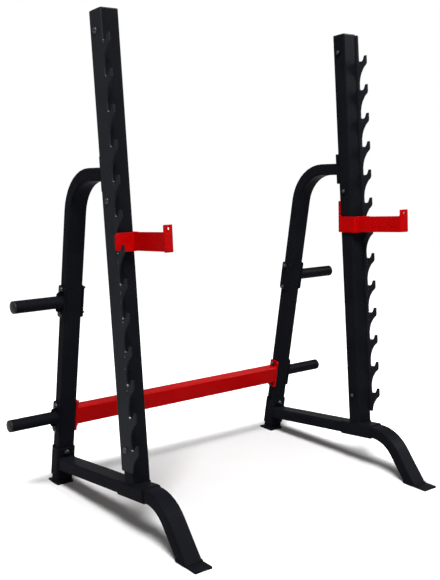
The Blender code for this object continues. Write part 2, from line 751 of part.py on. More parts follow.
def make_peg_plate(side, level, low, high, peg_height, surface):
    """The outer plate that a peg is welded to, with a round-nosed gusset above and below the peg."""
    plate = make_side_plate(
        side, f"{level}_peg_plate", low, high, PLATE_FACE - PEG_PLATE_WALL / 2, surface
    )
    inner = PLATE_FACE - GUSSET_ROOT
    outer = PLATE_FACE + GUSSET_REACH
    for sign in (-1, 1):
        near = sign * (PEG_RADIUS + GAP)
        far = sign * (PEG_RADIUS + GUSSET_HEIGHT)
        corners = [(inner, near, 0), (outer, near, 0), (outer, far, GUSSET_ROUND), (inner, far, 0)]
        outline = rounded_outline([(side.sign * x, z, radius) for x, z, radius in corners])
        gusset = flat_piece(
            side.label(f"{level}_gusset"), [outline], GUSSET_WALL, side.support,
            (0, 0, support_point(peg_height)), (math.pi / 2, 0, 0), "cutters",
        )
        boolean(plate, gusset, "UNION")
    return plate


def make_peg(side, level, height, surface):
    """The round tube that weight plates hang on, standing out sideways from its plate."""
    length = PEG_LENGTH - GAP - PEG_CAP_RIM - PEG_CAP_RISE
    inner = PEG_RADIUS - PEG_WALL
    profile = [(PEG_RADIUS, length), (PEG_RADIUS, 0), (inner, 0), (inner, length), (PEG_RADIUS, length)]
    peg = turned_mesh(side.label(f"{level}_peg"), profile, TURNED_STEPS)
    place = (side.outwards(PLATE_FACE + GAP), 0, support_point(height))
    return finish(put(peg, side.support, place, side.face_out()), surface)


def make_peg_cap(side, level, height, surface):
    """The domed plug in the peg's outer end."""
    start = PLATE_FACE + GAP + PEG_LENGTH - PEG_CAP_RIM - PEG_CAP_RISE
    plug = PEG_RADIUS - PEG_WALL - GAP
    angles = [math.radians(degrees) for degrees in (22, 44, 66)]
    dome = [(PEG_RADIUS * math.sin(a), PEG_CAP_RIM + PEG_CAP_RISE * math.cos(a)) for a in angles]
    profile = [
        (0, PEG_CAP_RIM + PEG_CAP_RISE), *dome, (PEG_RADIUS, PEG_CAP_RIM), (PEG_RADIUS, 0),
        (plug, 0), (plug, -PEG_CAP_PLUG), (0, -PEG_CAP_PLUG),
    ]
    cap = turned_mesh(side.label(f"{level}_peg_cap"), profile, TURNED_STEPS)
    place = (side.outwards(start), 0, support_point(height))
    return finish(put(cap, side.support, place, side.face_out()), surface)


def make_peg_bolts(side, level, low, high, surface):
    """Two bolts through the peg plate, the support and the plate on its inner face."""
    grip = 2 * PLATE_FACE
    for number, height in enumerate(reversed(bolt_heights(low, high)), start=1):
        place = (side.outwards(PLATE_FACE + GAP), 0, support_point(height))
        name = side.label(f"{level}_peg_bolt") + f"_{number}"
        make_bolt(
            name, side.support, place, side.face_out(), grip, surface, PEG_BOLT_HEAD_HEIGHT,
            PEG_BOLT_END,
        )


def make_cross_member(left, surface):
    """The red tube between the two end plates, tilted with the supports."""
    tube = flat_piece(
        "cross_member", tube_outlines(TUBE_DEPTH, CROSS_HEIGHT, TUBE_WALL, TUBE_CORNER),
        UPRIGHT_SPACING - 2 * (PLATE_FACE + GAP), left.support,
        (HALF_SPACING, 0, support_point(CROSS_CENTRE)), FLAT_SIDE,
    )
    return finish(tube, surface)


# Spotters

def rear_flange_front():
    """How far the flange's front face is behind the strip's middle, its top touching the upright."""
    behind = STRIP_REACH + UPRIGHT_DEPTH + GAP + REAR_TOP * math.sin(SPOTTER_TIP)
    return behind / math.cos(SPOTTER_TIP)


def strip_plan(side):
    """The bracket's strip seen from above: tongue, front, inner side and rear flange."""
    front, back_front = -STRIP_WALL / 2, STRIP_WALL / 2
    tongue = HOOK_PLATE_OUTER + TONGUE_REACH
    inner = -HALF_TUBE - SLIDE_GAP
    rear_front = rear_flange_front()
    rear = rear_front + STRIP_WALL
    end = inner + REAR_REACH
    outer_bend = STRIP_BEND + STRIP_WALL
    corners = [
        (tongue, front, 0), (tongue, back_front, 0), (inner, back_front, STRIP_BEND),
        (inner, rear_front, STRIP_BEND), (end, rear_front, 0), (end, rear, 0),
        (inner - STRIP_WALL, rear, outer_bend), (inner - STRIP_WALL, front, outer_bend),
    ]
    return rounded_outline([(side.outwards(x), y, radius) for x, y, radius in corners])


def over_strip(side):
    """What the strip's front and inner side lose above them, beside the full-height rear flange."""
    high = REAR_TOP + OVERRUN
    before = -STRIP_REACH - OVERRUN
    step = rear_flange_front() - STRIP_BEND
    outline = rounded_outline([
        (before, STRIP_TOP, 0), (step, STRIP_TOP, REAR_CORNER), (step, high, 0), (before, high, 0),
    ])
    return flat_piece(
        side.label("over_strip"), [outline], 4 * TUBE_WIDTH, side.seat, (0, 0, 0), FLAT_SIDE,
        "cutters",
    )


def round_tongue(side):
    """What the tongue loses: a notch under it that rests in the seat, and its rounded end."""
    low, high = -STRIP_DROP - OVERRUN, STRIP_TOP + OVERRUN
    notch = HALF_TUBE - TONGUE_SHOULDER
    tip = HOOK_PLATE_OUTER + TONGUE_REACH
    beyond = tip + OVERRUN
    top = STRIP_TOP + GAP
    corners = [
        (notch, low, 0), (notch, TONGUE_SEAT_GAP, NOTCH_CORNER),
        (tip, TONGUE_SEAT_GAP, TONGUE_LOW_CORNER), (tip, top, TONGUE_TOP_CORNER),
        (notch, top, 0), (notch, high, 0), (beyond, high, 0), (beyond, low, 0),
    ]
    outline = rounded_outline([(side.outwards(x), z, radius) for x, z, radius in corners])
    return flat_piece(
        side.label("round_tongue"), [outline], 4 * STRIP_WALL, side.seat, (0, 0, 0),
        (math.pi / 2, 0, 0), "cutters",
    )


def make_spotter_bracket(side, surface):
    """The bent strip round the upright: its tongue lies in a hook's seat."""
    bracket = flat_piece(
        side.label("spotter_bracket"), [strip_plan(side)], REAR_HEIGHT, side.seat,
        (0, 0, REAR_HEIGHT / 2 - STRIP_DROP),
    )
    boolean(bracket, over_strip(side))
    boolean(bracket, round_tongue(side))
    return finish(bracket, surface)


def make_spotter_arm(side, surface):
    """The upright plate that catches the bar, its front end folded outwards into a taller tab."""
    inner = -HALF_TUBE + ARM_INSET
    outer = inner + ARM_WALL
    tab_end = inner + TAB_WIDTH
    tab_front = STRIP_REACH - ARM_REACH
    tab_back = tab_front + ARM_WALL
    corners = [
        (inner, OVERRUN, 0), (inner, tab_front, STRIP_BEND + ARM_WALL), (tab_end, tab_front, 0),
        (tab_end, tab_back, 0), (outer, tab_back, STRIP_BEND), (outer, OVERRUN, 0),
    ]
    plan = rounded_outline([(side.outwards(x), y, radius) for x, y, radius in corners])
    arm = flat_piece(
        side.label("spotter_arm"), [plan], TAB_HEIGHT, side.arm, (0, 0, TAB_HEIGHT / 2)
    )
    high = TAB_HEIGHT + OVERRUN
    step = tab_back + STRIP_BEND
    behind = 2 * OVERRUN
    outline = rounded_outline([
        (behind, ARM_HEIGHT, 0), (step, ARM_HEIGHT, TAB_CORNER), (step, high, 0), (behind, high, 0),
    ])
    over_arm = flat_piece(
        side.label("over_arm"), [outline], 4 * TUBE_WIDTH, side.arm, (0, 0, 0), FLAT_SIDE, "cutters"
    )
    boolean(arm, over_arm)
    seat = side.seat.matrix_world
    trim(arm, seat @ Vector((0, -STRIP_WALL / 2 - GAP, 0)), seat.to_3x3() @ Vector((0, 1, 0)))
    hole = (
        side.outwards(inner + TAB_WIDTH / 2), (tab_front + tab_back) / 2, TAB_HEIGHT - TAB_HOLE_INSET
    )
    drill(arm, side.arm, hole, (math.pi / 2, 0, 0), 2 * ARM_WALL, TAB_HOLE_RADIUS)
    return finish(arm, surface)


# Whole rack

def make_side(side, surfaces):
    """Every piece of one side frame, with its spotter."""
    frame, red, bolt = surfaces["frame"], surfaces["red"], surfaces["bolt"]
    make_upright(side, frame)
    make_upright_cap(side, surfaces["cap"])
    make_hook_plate(side, surfaces["hooks"])
    make_hook_plate_bolts(side, bolt)
    make_base_rail(side, frame)
    make_base_sleeve(side, frame)
    front_middle = FRONT + FRONT_FOOT_LENGTH / 2
    rear_middle = BACK - REAR_FOOT_LENGTH / 2
    make_foot_plate(side, "front_foot_plate", front_middle, TUBE_WIDTH, FRONT_FOOT_LENGTH, frame)
    make_foot_plate(side, "rear_foot_plate", rear_middle, TUBE_WIDTH, REAR_FOOT_LENGTH, frame)
    make_rear_support(side, frame)
    make_rear_socket(side, frame)
    make_socket_bolt(side, bolt)
    make_support_flange(side, frame)
    make_peg_plate(side, "upper", *UPPER_PLATE, UPPER_PEG_HEIGHT, frame)
    make_peg_plate(side, "lower", *LOWER_PLATE, LOWER_PEG_HEIGHT, frame)
    for level, height in (("upper", UPPER_PEG_HEIGHT), ("lower", LOWER_PEG_HEIGHT)):
        make_peg(side, level, height, frame)
        make_peg_cap(side, level, height, surfaces["cap"])
    inner = PEG_PLATE_WALL / 2 - PLATE_FACE
    make_side_plate(side, "upper_backing_plate", *UPPER_PLATE, inner, frame)
    make_side_plate(side, "cross_member_end_plate", *LOWER_PLATE, inner, red)
    make_peg_bolts(side, "upper", *UPPER_PLATE, bolt)
    make_peg_bolts(side, "lower", *LOWER_PLATE, bolt)
    make_spotter_bracket(side, red)
    make_spotter_arm(side, red)


def main():
    clear_scene()
    new_collection("squat_rack")
    new_collection("cutters").hide_render = True
    surfaces = make_materials()
    rack = axis_empty("rack", None, (0, 0, 0), 0)
    left, right = Side("left", -1, rack), Side("right", 1, rack)
    for side in (left, right):
        make_side(side, surfaces)
    make_cross_member(left, surfaces["red"])
    bpy.context.view_layer.update()


main()
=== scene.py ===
"""Walk-in squat rack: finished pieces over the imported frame, with a studio stage and the camera.

Metres, +Z up, +X across the rack, the open front towards -Y. Each side frame is drawn outwards from
its own middle plane, so one drawing serves the left and the right.
"""

import math

import bmesh
import bpy
import numpy as np
from bpy.props import FloatProperty, FloatVectorProperty, PointerProperty
from bpy.types import Operator, Panel, PropertyGroup
from mathutils import Matrix, Vector


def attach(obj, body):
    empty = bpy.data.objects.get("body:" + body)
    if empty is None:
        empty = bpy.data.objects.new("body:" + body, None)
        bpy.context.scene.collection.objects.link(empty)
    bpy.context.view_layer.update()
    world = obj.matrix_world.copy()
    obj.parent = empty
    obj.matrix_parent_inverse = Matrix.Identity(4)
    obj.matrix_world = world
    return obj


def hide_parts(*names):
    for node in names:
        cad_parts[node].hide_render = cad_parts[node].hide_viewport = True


bl_info = {
    "name": "Walk-in squat rack",
    "version": (1, 0, 0),
    "blender": (4, 5, 0),
    "location": "3D View > Sidebar > Squat Rack",
    "description": "Builds the finished pieces of a walk-in squat rack and the stage they stand on",
    "category": "Object",
}

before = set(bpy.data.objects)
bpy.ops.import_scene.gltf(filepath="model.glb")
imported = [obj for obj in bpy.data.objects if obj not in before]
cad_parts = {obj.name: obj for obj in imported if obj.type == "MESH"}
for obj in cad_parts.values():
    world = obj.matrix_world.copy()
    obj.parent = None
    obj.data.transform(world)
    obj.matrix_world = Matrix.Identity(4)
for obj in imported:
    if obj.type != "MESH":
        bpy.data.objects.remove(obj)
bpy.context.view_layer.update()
SIDES = {"left": -1.0, "right": 1.0}
GAP = 0.0003  # between pieces that lie against one another
OVERLAP = 0.001  # how deep shapes of one piece reach into one another
RIM = 0.0008  # rounding of a cut rim, and the least radius of a drawn-in corner
SPARE = 0.03  # how far a tube is drawn past its cut
FINE = math.radians(9)  # step of the arcs
STRAIGHT = 0.001  # a corner that turns by less than this isn't rounded
BEAD_STEP = 0.0012  # from ring to ring of a weld bead
BEAD_SWELL = (0.13, 0.06)  # how much of its radius the ripples and the slow wander add or take
BEAD_TIP = 0.15  # share of its radius at an open end
SHARPEST_MITRE = 0.5  # keeps a plate's edge from running far inwards at a sharp corner

# Which local coordinate runs outwards, backwards and along. The names say where the third one runs.
ALONG, OUTWARDS, BACKWARDS = (0, 1, 2), (2, 0, 1), (0, 2, 1)

# Floor plan
FOOT_SPAN = 1.015
UPRIGHT_SPACING = 1.1384
UPRIGHT_SETBACK = 0.3625
LEG_SETBACK = 0.0790
SUPPORT_INSET = 0.0510

# Tubes
TUBE_WIDTH = 0.0705
TUBE_DEPTH = 0.0470
TUBE_WALL = 0.003
TUBE_CORNER = 0.0065
UPRIGHT_DEPTH = 0.063
UPRIGHT_LENGTH = 1.6210
UPRIGHT_LEAN = math.radians(6.19)
SLEEVE_WALL = 0.0046
SLEEVE_LENGTH = 0.165
SLEEVE_FRONT = 0.057
RAIL_HEIGHT = 0.1565
RAIL_SLOPE = math.radians(6.69)
RAIL_BEND = 0.150
LEG_SLOPE = math.radians(50.2)
SUPPORT_TILT = math.radians(8.41)
SUPPORT_BEND = 0.165
SUPPORT_RUN_HEIGHT = 1.2535
SUPPORT_RUN_DROP = math.radians(3)
SOCKET_BOTTOM = 0.036
SOCKET_HEIGHT = 0.160
SOCKET_BOLT_INSET = 0.017
FLANGE_HEIGHT = 0.1225
FLANGE_WIDTH = 0.0765
FLANGE_WALL = 0.009
FLANGE_CORNER = 0.004
FLANGE_EDGE = 0.001

# Feet and caps
FOOT_WALL = 0.006
FRONT_FOOT_LENGTH = 0.106
REAR_FOOT_LENGTH = 0.084
FOOT_CORNER = 0.004
FOOT_EDGE = 0.0007
CAP_RIM = 0.0035
CAP_RISE = 0.0016
CAP_PLUG = 0.016
CAP_DOME = 0.022
PLUG_TAPER = 0.001  # how far a cap's plug is drawn in at its end

# Hook plates
HOOK_COUNT = 13
LOWEST_SEAT = 0.1275
HIGHEST_SEAT_INSET = 0.1082
PLATE_WALL = 0.006
PLATE_BOTTOM = 0.0450
PLATE_EDGE = 0.008
PLATE_CORNER = 0.004
PLATE_TOP_CORNER = 0.007
HOOK_SHAPE = (  # reach, height over the seat and rounding, from the root round the tip to the seat
    (PLATE_EDGE, -0.083, 0.030), (0.0130, -0.0600, 0.060), (0.0200, -0.0445, 0.040),
    (0.0335, -0.0258, 0.030), (0.0485, -0.0137, 0.008), (0.0510, -0.006, 0.010),
    (0.0510, 0.0208, 0.0018), (0.0405, 0.0208, 0.0018), (0.0305, 0, 0.011), (PLATE_EDGE, 0, 0.010),
)
# Bare steel where a bar rests in a seat: partly real wear, partly a painted highlight that gives each
# seat's back its small bright glint
WORN_GLINT_SPOT = (0.016, 0.003)  # reach and height over the seat where a bar's shaft lies
WORN_GLINT_REACH = 0.0055
FACE_WEAR_AND_GLINT = 0.55  # how much of the edge's worn steel and painted glint is on the faces beside it
LOW_BOLT_HEIGHT = 0.1225
MIDDLE_BOLT_DROP = 0.0317
TOP_BOLT_INSET = 0.0675

# Fasteners
BOLT_RADIUS = 0.005
BOLT_HEAD_RADIUS = 0.0095
BOLT_HEAD_HEIGHT = 0.0055
PEG_BOLT_HEAD_HEIGHT = 0.0080
SOCKET_KEY_RADIUS = 0.0032
KEY_HOLE = ((1.2, 0.42), (1.2, 0.84), (1.32, 0.86))  # shares of the key radius and head height
HEAD_ANGLES = np.radians((32, 45, 60, 75, 88))  # from the axis to the points of the head's dome
HEAD_FOOT = 0.96  # share of the head's radius that lies on the washer
SHANK_REACH = 0.002  # how far a shank is drawn under its head, and its threaded end inside the nut
WASHER_RADIUS = BOLT_HEAD_RADIUS * 1.16
WASHER_WALL = 0.0012
WASHER_CHAMFER = (0.0004, 0.7)  # how far in it starts, and the share of the wall that it leaves
NUT_RADIUS = 0.0098
NUT_HEIGHT = 0.0075
NUT_CHAMFER = 0.0013
NUT_FACE = 0.97  # radius of a nut's end face as a share of the distance to its flats
NUT_MOUTH = (0.0008, 0.0006)  # width and depth of the chamfer round a nut's hole
THREAD_STEP = 0.0008  # from crest to root
THREAD_DEPTH = 0.0004
THREAD_START = 0.0012  # how far inside the nut it begins
BOLT_POINT = 0.0011  # how far a bolt's end is drawn in
BOLT_END = 0.0035
PEG_BOLT_END = 0.009

# Storage pegs, their plates and the cross member
PEG_RADIUS = 0.0238
PEG_WALL = 0.003
PEG_LENGTH = 0.2028
PEG_CAP_RIM = 0.004
PEG_CAP_RISE = 0.0065
PEG_CAP_PLUG = 0.018
PEG_CAP_CHAMFER = 0.0006
PEG_STEPS = 64
PEG_PLATE_WALL = 0.006
PEG_PLATE_WIDTH = 0.0510
PEG_PLATE_CORNER = 0.009
UPPER_PLATE_REACH = (0.0630, 0.0610)
LOWER_PLATE_REACH = (0.0660, 0.0615)
PLATE_BOLT_INSET = 0.0125
UPPER_PEG_HEIGHT = 0.7642
LOWER_PEG_HEIGHT = 0.2917
GUSSET_REACH = 0.021
GUSSET_HEIGHT = 0.0155
GUSSET_ROUND = 0.011
GUSSET_TOE = 0.0015  # rounding of the corner beside the peg
GUSSET_WALL = 0.005
CROSS_HEIGHT = 0.0750
CROSS_DROP = 0.0024

# Spotters
SPOTTER_CLEARANCE = 0.015
SPOTTER_TIP = math.radians(2.8)
STRIP_REACH = 0.0222
STRIP_WALL = 0.0058
STRIP_HEIGHT = 0.0652
STRIP_DROP = 0.005
STRIP_BEND = 0.004
STRIP_CORNER = 0.004
STEP_RUN = 0.0003  # length in which a strip's top edge steps up
NOTCH_RUN = 0.0005  # length in which its low edge steps down where the tongue ends
SLIDE_GAP = 0.0012
TONGUE_SEAT_GAP = 0.0009
TONGUE_REACH = 0.013
TONGUE_SHOULDER = 0.005
TONGUE_TOP_CORNER = 0.014
TONGUE_LOW_CORNER = 0.006
REAR_REACH = 0.046
REAR_HEIGHT = 0.130
REAR_CORNER = 0.012
ARM_DIP = math.radians(1.4)
ARM_WALL = 0.006
ARM_INSET = 0.0130
ARM_HEIGHT = 0.0638
ARM_DROP = 0.0034
ARM_REACH = 0.2575
TAB_WIDTH = 0.037
TAB_HEIGHT = 0.0888
TAB_CORNER = 0.006
TAB_END_CORNER = 0.003
TAB_HOLE_RADIUS = 0.005
TAB_HOLE_INSET = 0.0125

# Weld beads: radii of those that are slimmer than the panel's, and where two of them run
SLEEVE_WELD = 0.0026
FLANGE_WELD = 0.0022
FLANGE_WELD_LINE = 0.97  # share of the flange's outline that its bead follows
SOCKET_WELD = ARM_WELD = 0.0028
PEG_WELD = CROSS_WELD = 0.0030
ARM_WELD_INSET = 0.002  # from the arm's edges to the ends of its beads

# Looks: how strongly a coat mirrors, and how far its clouds change its shade
WHITE = (1, 1, 1)
SPECULAR = {"frame_coat": 0.006, "hook_coat": 0.02, "red_coat": 0.02}
CLOUD = {"frame_coat": 0.18, "hook_coat": 0.18, "red_coat": 0.06}
PLASTIC_SPECULAR = 0.12

# Stage
FLOOR_SIZE = 14
FLOOR_CORNER = 0.5
FLOOR_WALL = 0.02
FLOOR_SHADES = (0.82, 0.84)  # of white, mottled
FEET_REACH = (0.62, 0.48, 1.0)  # from the middle to where the floor's glow begins to grow
GLOW_RAMP = 0.15  # length in which it grows to its whole strength
GLOW_BETWEEN = 0.04  # its share between the feet
LAMPS = (  # name, place, point it looks at and size
    ("top", (-1.8, -1.9, 6.0), (0, 0, 0.2), 2.0),
    ("left", (-3.2, -1.2, 1.9), (0, 0, 0.9), 1.8),
    ("right", (1.6, -3.4, 1.8), (0, 0, 0.8), 1.6),
    ("sheen", (3.4, -2.1, 3.6), (0, -0.3, 0.3), 1.8),
)
CAMERA_PLACE = (-2.1755, -2.6286, 1.3820)
CAMERA_AZIMUTH = math.radians(38.0860)
CAMERA_PITCH = math.radians(11.1959)
CAMERA_ROLL = math.radians(0.5023)
CAMERA_SHIFT = 0.03927
SENSOR_WIDTH = 36

# Worked out from the sizes above
FRONT = -FOOT_SPAN / 2
BACK = FOOT_SPAN / 2
UPRIGHT_Y = FRONT + UPRIGHT_SETBACK
SUPPORT_Y = BACK - SUPPORT_INSET
HALF_SPACING = UPRIGHT_SPACING / 2
HALF_TUBE = TUBE_WIDTH / 2
UPRIGHT_Z = RAIL_HEIGHT + (TUBE_DEPTH / 2 + GAP + SLEEVE_WALL) / math.cos(RAIL_SLOPE)
HOOK_PLATE_OUTER = HALF_TUBE + GAP + PLATE_WALL
STRIP_TOP = STRIP_HEIGHT - STRIP_DROP
REAR_TOP = REAR_HEIGHT - STRIP_DROP
REAR_BEHIND = STRIP_REACH + UPRIGHT_DEPTH + GAP + REAR_TOP * math.sin(SPOTTER_TIP)
REAR_FRONT = REAR_BEHIND / math.cos(SPOTTER_TIP)  # so that the flange's top touches the upright
HOOK_PITCH = (UPRIGHT_LENGTH - HIGHEST_SEAT_INSET - LOWEST_SEAT) / (HOOK_COUNT - 1)
FLANGE_BACK = UPRIGHT_DEPTH + GAP + FLANGE_WALL
FLANGE_RISE = SUPPORT_RUN_HEIGHT - UPRIGHT_Z + FLANGE_BACK * math.sin(UPRIGHT_LEAN)
FLANGE_CENTRE = FLANGE_RISE / math.cos(UPRIGHT_LEAN)
FLANGE_BOTTOM = FLANGE_CENTRE - FLANGE_HEIGHT / 2
HOOK_BOLTS = (LOW_BOLT_HEIGHT, FLANGE_BOTTOM - MIDDLE_BOLT_DROP, UPRIGHT_LENGTH - TOP_BOLT_INSET)
SEAT_LIMIT = FLANGE_BOTTOM - SPOTTER_CLEARANCE - REAR_TOP
SPOTTER_SEAT = LOWEST_SEAT + math.floor((SEAT_LIMIT - LOWEST_SEAT) / HOOK_PITCH) * HOOK_PITCH
UPPER_PLATE = (UPPER_PEG_HEIGHT - UPPER_PLATE_REACH[0], UPPER_PEG_HEIGHT + UPPER_PLATE_REACH[1])
LOWER_PLATE = (LOWER_PEG_HEIGHT - LOWER_PLATE_REACH[0], LOWER_PEG_HEIGHT + LOWER_PLATE_REACH[1])
CROSS_CENTRE = LOWER_PEG_HEIGHT - CROSS_DROP
PLATE_FACE = HALF_TUBE + GAP + PEG_PLATE_WALL
LEVELS = {"upper": (UPPER_PEG_HEIGHT, UPPER_PLATE), "lower": (LOWER_PEG_HEIGHT, LOWER_PLATE)}
FOOT_CUT = ((0, FOOT_WALL), (0, 1))
ARM_INNER = -HALF_TUBE + ARM_INSET
TAB_FRONT = STRIP_REACH - ARM_REACH
RAIL_NORMAL = np.array([math.sin(RAIL_SLOPE), math.cos(RAIL_SLOPE)])


# Finish, stage and detail sizes that a user would change

class RackFinish(PropertyGroup):
    coat_colour: FloatVectorProperty(
        name="Coat", description="Powder coat of the tubes and plates", subtype="COLOR",
        default=(0.0052, 0.0055, 0.0075), min=0, max=1,
    )
    hook_colour: FloatVectorProperty(
        name="Hook plate coat", description="Powder coat of the two hook plates", subtype="COLOR",
        default=(0.0105, 0.0115, 0.0145), min=0, max=1,
    )
    red_colour: FloatVectorProperty(
        name="Red coat", description="Powder coat of the spotters and the cross member",
        subtype="COLOR", default=(0.36, 0.0008, 0.0012), min=0, max=1,
    )
    plastic_colour: FloatVectorProperty(
        name="Plastic", description="Moulded caps", subtype="COLOR",
        default=(0.0070, 0.0070, 0.0080), min=0, max=1,
    )
    zinc_colour: FloatVectorProperty(
        name="Zinc", description="Plating of the bolts and nuts", subtype="COLOR",
        default=(0.035, 0.035, 0.039), min=0, max=1,
    )
    # Shows only on the hook seats: worn paint that also stands in for each seat's painted glint
    steel_colour: FloatVectorProperty(
        name="Bare steel", description="Steel that shows where the coat is worn", subtype="COLOR",
        default=(0.56, 0.56, 0.57), min=0, max=1,
    )
    coat_roughness: FloatProperty(
        name="Coat roughness", description="Roughness of the dark coat", subtype="FACTOR",
        default=0.42, min=0, max=1,
    )
    red_roughness: FloatProperty(
        name="Red roughness", description="Roughness of the red coat", subtype="FACTOR",
        default=0.36, min=0, max=1,
    )
    grain: FloatProperty(
        name="Grain", description="Height of the coat's orange peel", unit="LENGTH",
        default=0.00022, min=0, max=0.002, precision=5,
    )


class RackDetail(PropertyGroup):
    plate_edge: FloatProperty(
        name="Plate edge", description="Rounding of a cut plate's edges", unit="LENGTH",
        default=0.0005, min=0.0001, max=0.002, precision=4,
    )
    weld_radius: FloatProperty(
        name="Weld", description="Radius of a weld bead", unit="LENGTH",
        default=0.0034, min=0.001, max=0.008, precision=4,
    )
    weld_pitch: FloatProperty(
        name="Weld pitch", description="Length of one ripple of a bead", unit="LENGTH",
        default=0.0042, min=0.001, max=0.02, precision=4,
    )


class RackStage(PropertyGroup):
    top_power: FloatProperty(
        name="Top lamp", description="Power of the lamp overhead", unit="POWER", default=630, min=0
    )
    left_power: FloatProperty(
        name="Left lamp", description="Power of the lamp on the left", unit="POWER", default=2, min=0
    )
    right_power: FloatProperty(
        name="Right lamp", description="Power of the lamp on the right", unit="POWER", default=16,
        min=0,
    )
    sheen_power: FloatProperty(
        name="Sheen lamp", description="Power of the lamp that shows only as a sheen on the coats",
        unit="POWER", default=700, min=0,
    )
    ambient: FloatProperty(
        name="Ambient", description="Strength of the even light from all round", subtype="FACTOR",
        default=0.08, min=0, max=1,
    )
    focal_length: FloatProperty(
        name="Lens", description="Focal length on a 36 mm sensor", unit="CAMERA", default=55.13,
        min=10, max=300,
    )


# Frames of the leaning members

class Member:
    """A member's own frame in one side frame: outwards, backwards and along the member."""

    def __init__(self, side, y, z, turn):
        self.side, self.y, self.z, self.turn = side, y, z, turn

    def yz(self, back, along):
        """The rack's (y, z): the member's place plus backwards and along, turned by its lean."""
        y = self.y + back * math.cos(self.turn) - along * math.sin(self.turn)
        z = self.z + back * math.sin(self.turn) + along * math.cos(self.turn)
        return np.stack(np.broadcast_arrays(y, z), -1)

    def world(self, points):
        """Points (outwards, backwards, along) in the rack's own frame."""
        x = SIDES[self.side] * (HALF_SPACING + points[..., 0])
        return np.concatenate([x[..., None], self.yz(points[..., 1], points[..., 2])], -1)

    def hung(self, back, along, turn):
        """A member that starts at a point of this one and leans a little more."""
        return Member(self.side, *self.yz(back, along), self.turn + turn)


def upright_of(side):
    return Member(side, UPRIGHT_Y, UPRIGHT_Z, -UPRIGHT_LEAN)


def support_of(side):
    return Member(side, SUPPORT_Y, 0, SUPPORT_TILT)


def laid(member, order, shift=(0, 0, 0), way=(1, 1, 1)):
    """A function that lays local points in a member: outwards, backwards and along each take the
    local coordinate that order names, times its way, plus the shift."""
    return lambda local: member.world(local[..., list(order)] * np.array(way) + np.array(shift))


# Lines and sections

def unit(vector):
    return vector / np.linalg.norm(vector, axis=-1, keepdims=True)


def left_of(heading):
    """The heading after a quarter turn to the left."""
    return np.stack([-heading[..., 1], heading[..., 0]], -1)


def arc(before, corner, after, radius):
    """Points and headings of the arc that touches both legs of a corner. Its centre is one radius from
    each leg, and a point goes round it as centre - normal r cos a + heading r sin a."""
    arriving, leaving = unit(corner - before), unit(after - corner)
    turn = math.acos(np.clip(arriving @ leaving, -1, 1))
    if radius <= 0 or turn < STRAIGHT:
        return corner[None], unit(arriving + leaving)[None]
    spin = np.sign(arriving[0] * leaving[1] - arriving[1] * leaving[0])
    normal = spin * left_of(arriving)
    centre = corner - arriving * radius * math.tan(turn / 2) + normal * radius
    angle = np.linspace(0, turn, max(3, math.ceil(turn / FINE) + 1))[:, None]
    points = centre - normal * radius * np.cos(angle) + arriving * radius * np.sin(angle)
    return points, arriving * np.cos(angle) + normal * np.sin(angle)


def rounded_outline(corners):
    """A closed outline whose every corner (x, y, radius) is rounded by its arc."""
    corners = np.array(corners, float)
    turns = zip(np.roll(corners, 1, 0), corners, np.roll(corners, -1, 0))
    return np.concatenate([arc(a[:2], b[:2], c[:2], b[2])[0] for a, b, c in turns])


def bent_path(corners, radius):
    """Points and headings of an open line through the corners, each inner corner bent to the radius."""
    corners = np.array(corners, float)
    bends = [arc(a, b, c, radius) for a, b, c in zip(corners, corners[1:], corners[2:])]
    first, last = unit(corners[1] - corners[0]), unit(corners[-1] - corners[-2])
    points = [corners[:1], *(bend[0] for bend in bends), corners[-1:]]
    headings = [first[None], *(bend[1] for bend in bends), last[None]]
    return np.concatenate(points), np.concatenate(headings)


def rounded_rectangle(width, depth, radius, steps=6):
    """Four quarter circles about the corners' own centres, in order round the middle."""
    turn = np.linspace(0, np.pi / 2, steps + 1) + np.arange(4)[:, None] * np.pi / 2
    x = np.array([1, -1, -1, 1])[:, None] * (width / 2 - radius) + radius * np.cos(turn)
    y = np.array([1, 1, -1, -1])[:, None] * (depth / 2 - radius) + radius * np.sin(turn)
    return np.stack([x.ravel(), y.ravel()], -1)


def rounded_box(width, length, radius):
    """A rectangle's outline with its four corners rounded by arcs."""
    ways = ((1, -1), (1, 1), (-1, 1), (-1, -1))
    return rounded_outline([(a * width / 2, b * length / 2, radius) for a, b in ways])


def tube_section(width, depth, inset=0):
    return rounded_rectangle(width - 2 * inset, depth - 2 * inset, TUBE_CORNER - inset)


def level(flat, height):
    """The points of a flat line, all at one height."""
    return np.column_stack([flat, np.full(len(flat), height)])


def read_off(line, distances, values):
    """Values at distances along a line, in proportion between those that belong to its points."""
    run = np.concatenate([[0], np.cumsum(np.linalg.norm(np.diff(line, axis=0), axis=1))])
    return np.stack([np.interp(distances, run, column) for column in values.T], -1)


def path_length(path):
    return float(np.linalg.norm(np.diff(path, axis=0), axis=1).sum())


# Grids of points, each row a closed ring

def carried(side, path, headings, section, cuts):
    """A section carried along a path in the side plane: across the rack plus its first coordinate, and
    from the path along its normal by its second. An end row slides along the path onto its cut."""
    yz = path[:, None, :] + section[None, :, 1:] * left_of(headings)[:, None, :]
    for row, cut in zip((0, -1), cuts):
        if cut is not None:
            point, facing = np.array(cut[0]), np.array(cut[1])
            slide = ((point - yz[row]) @ facing) / (headings[row] @ facing)
            yz[row] += slide[:, None] * headings[row]
    x = np.broadcast_to(SIDES[side] * (HALF_SPACING + section[:, 0]), yz.shape[:2])
    return np.concatenate([x[..., None], yz], -1)


def boxed(width, depth, radius, profile):
    """A rounded rectangle carried along its own axis, drawn in by the profile: (inset, height) rows."""
    return np.array([
        level(rounded_rectangle(width - 2 * i, depth - 2 * i, max(radius - i, RIM)), height)
        for i, height in profile
    ])


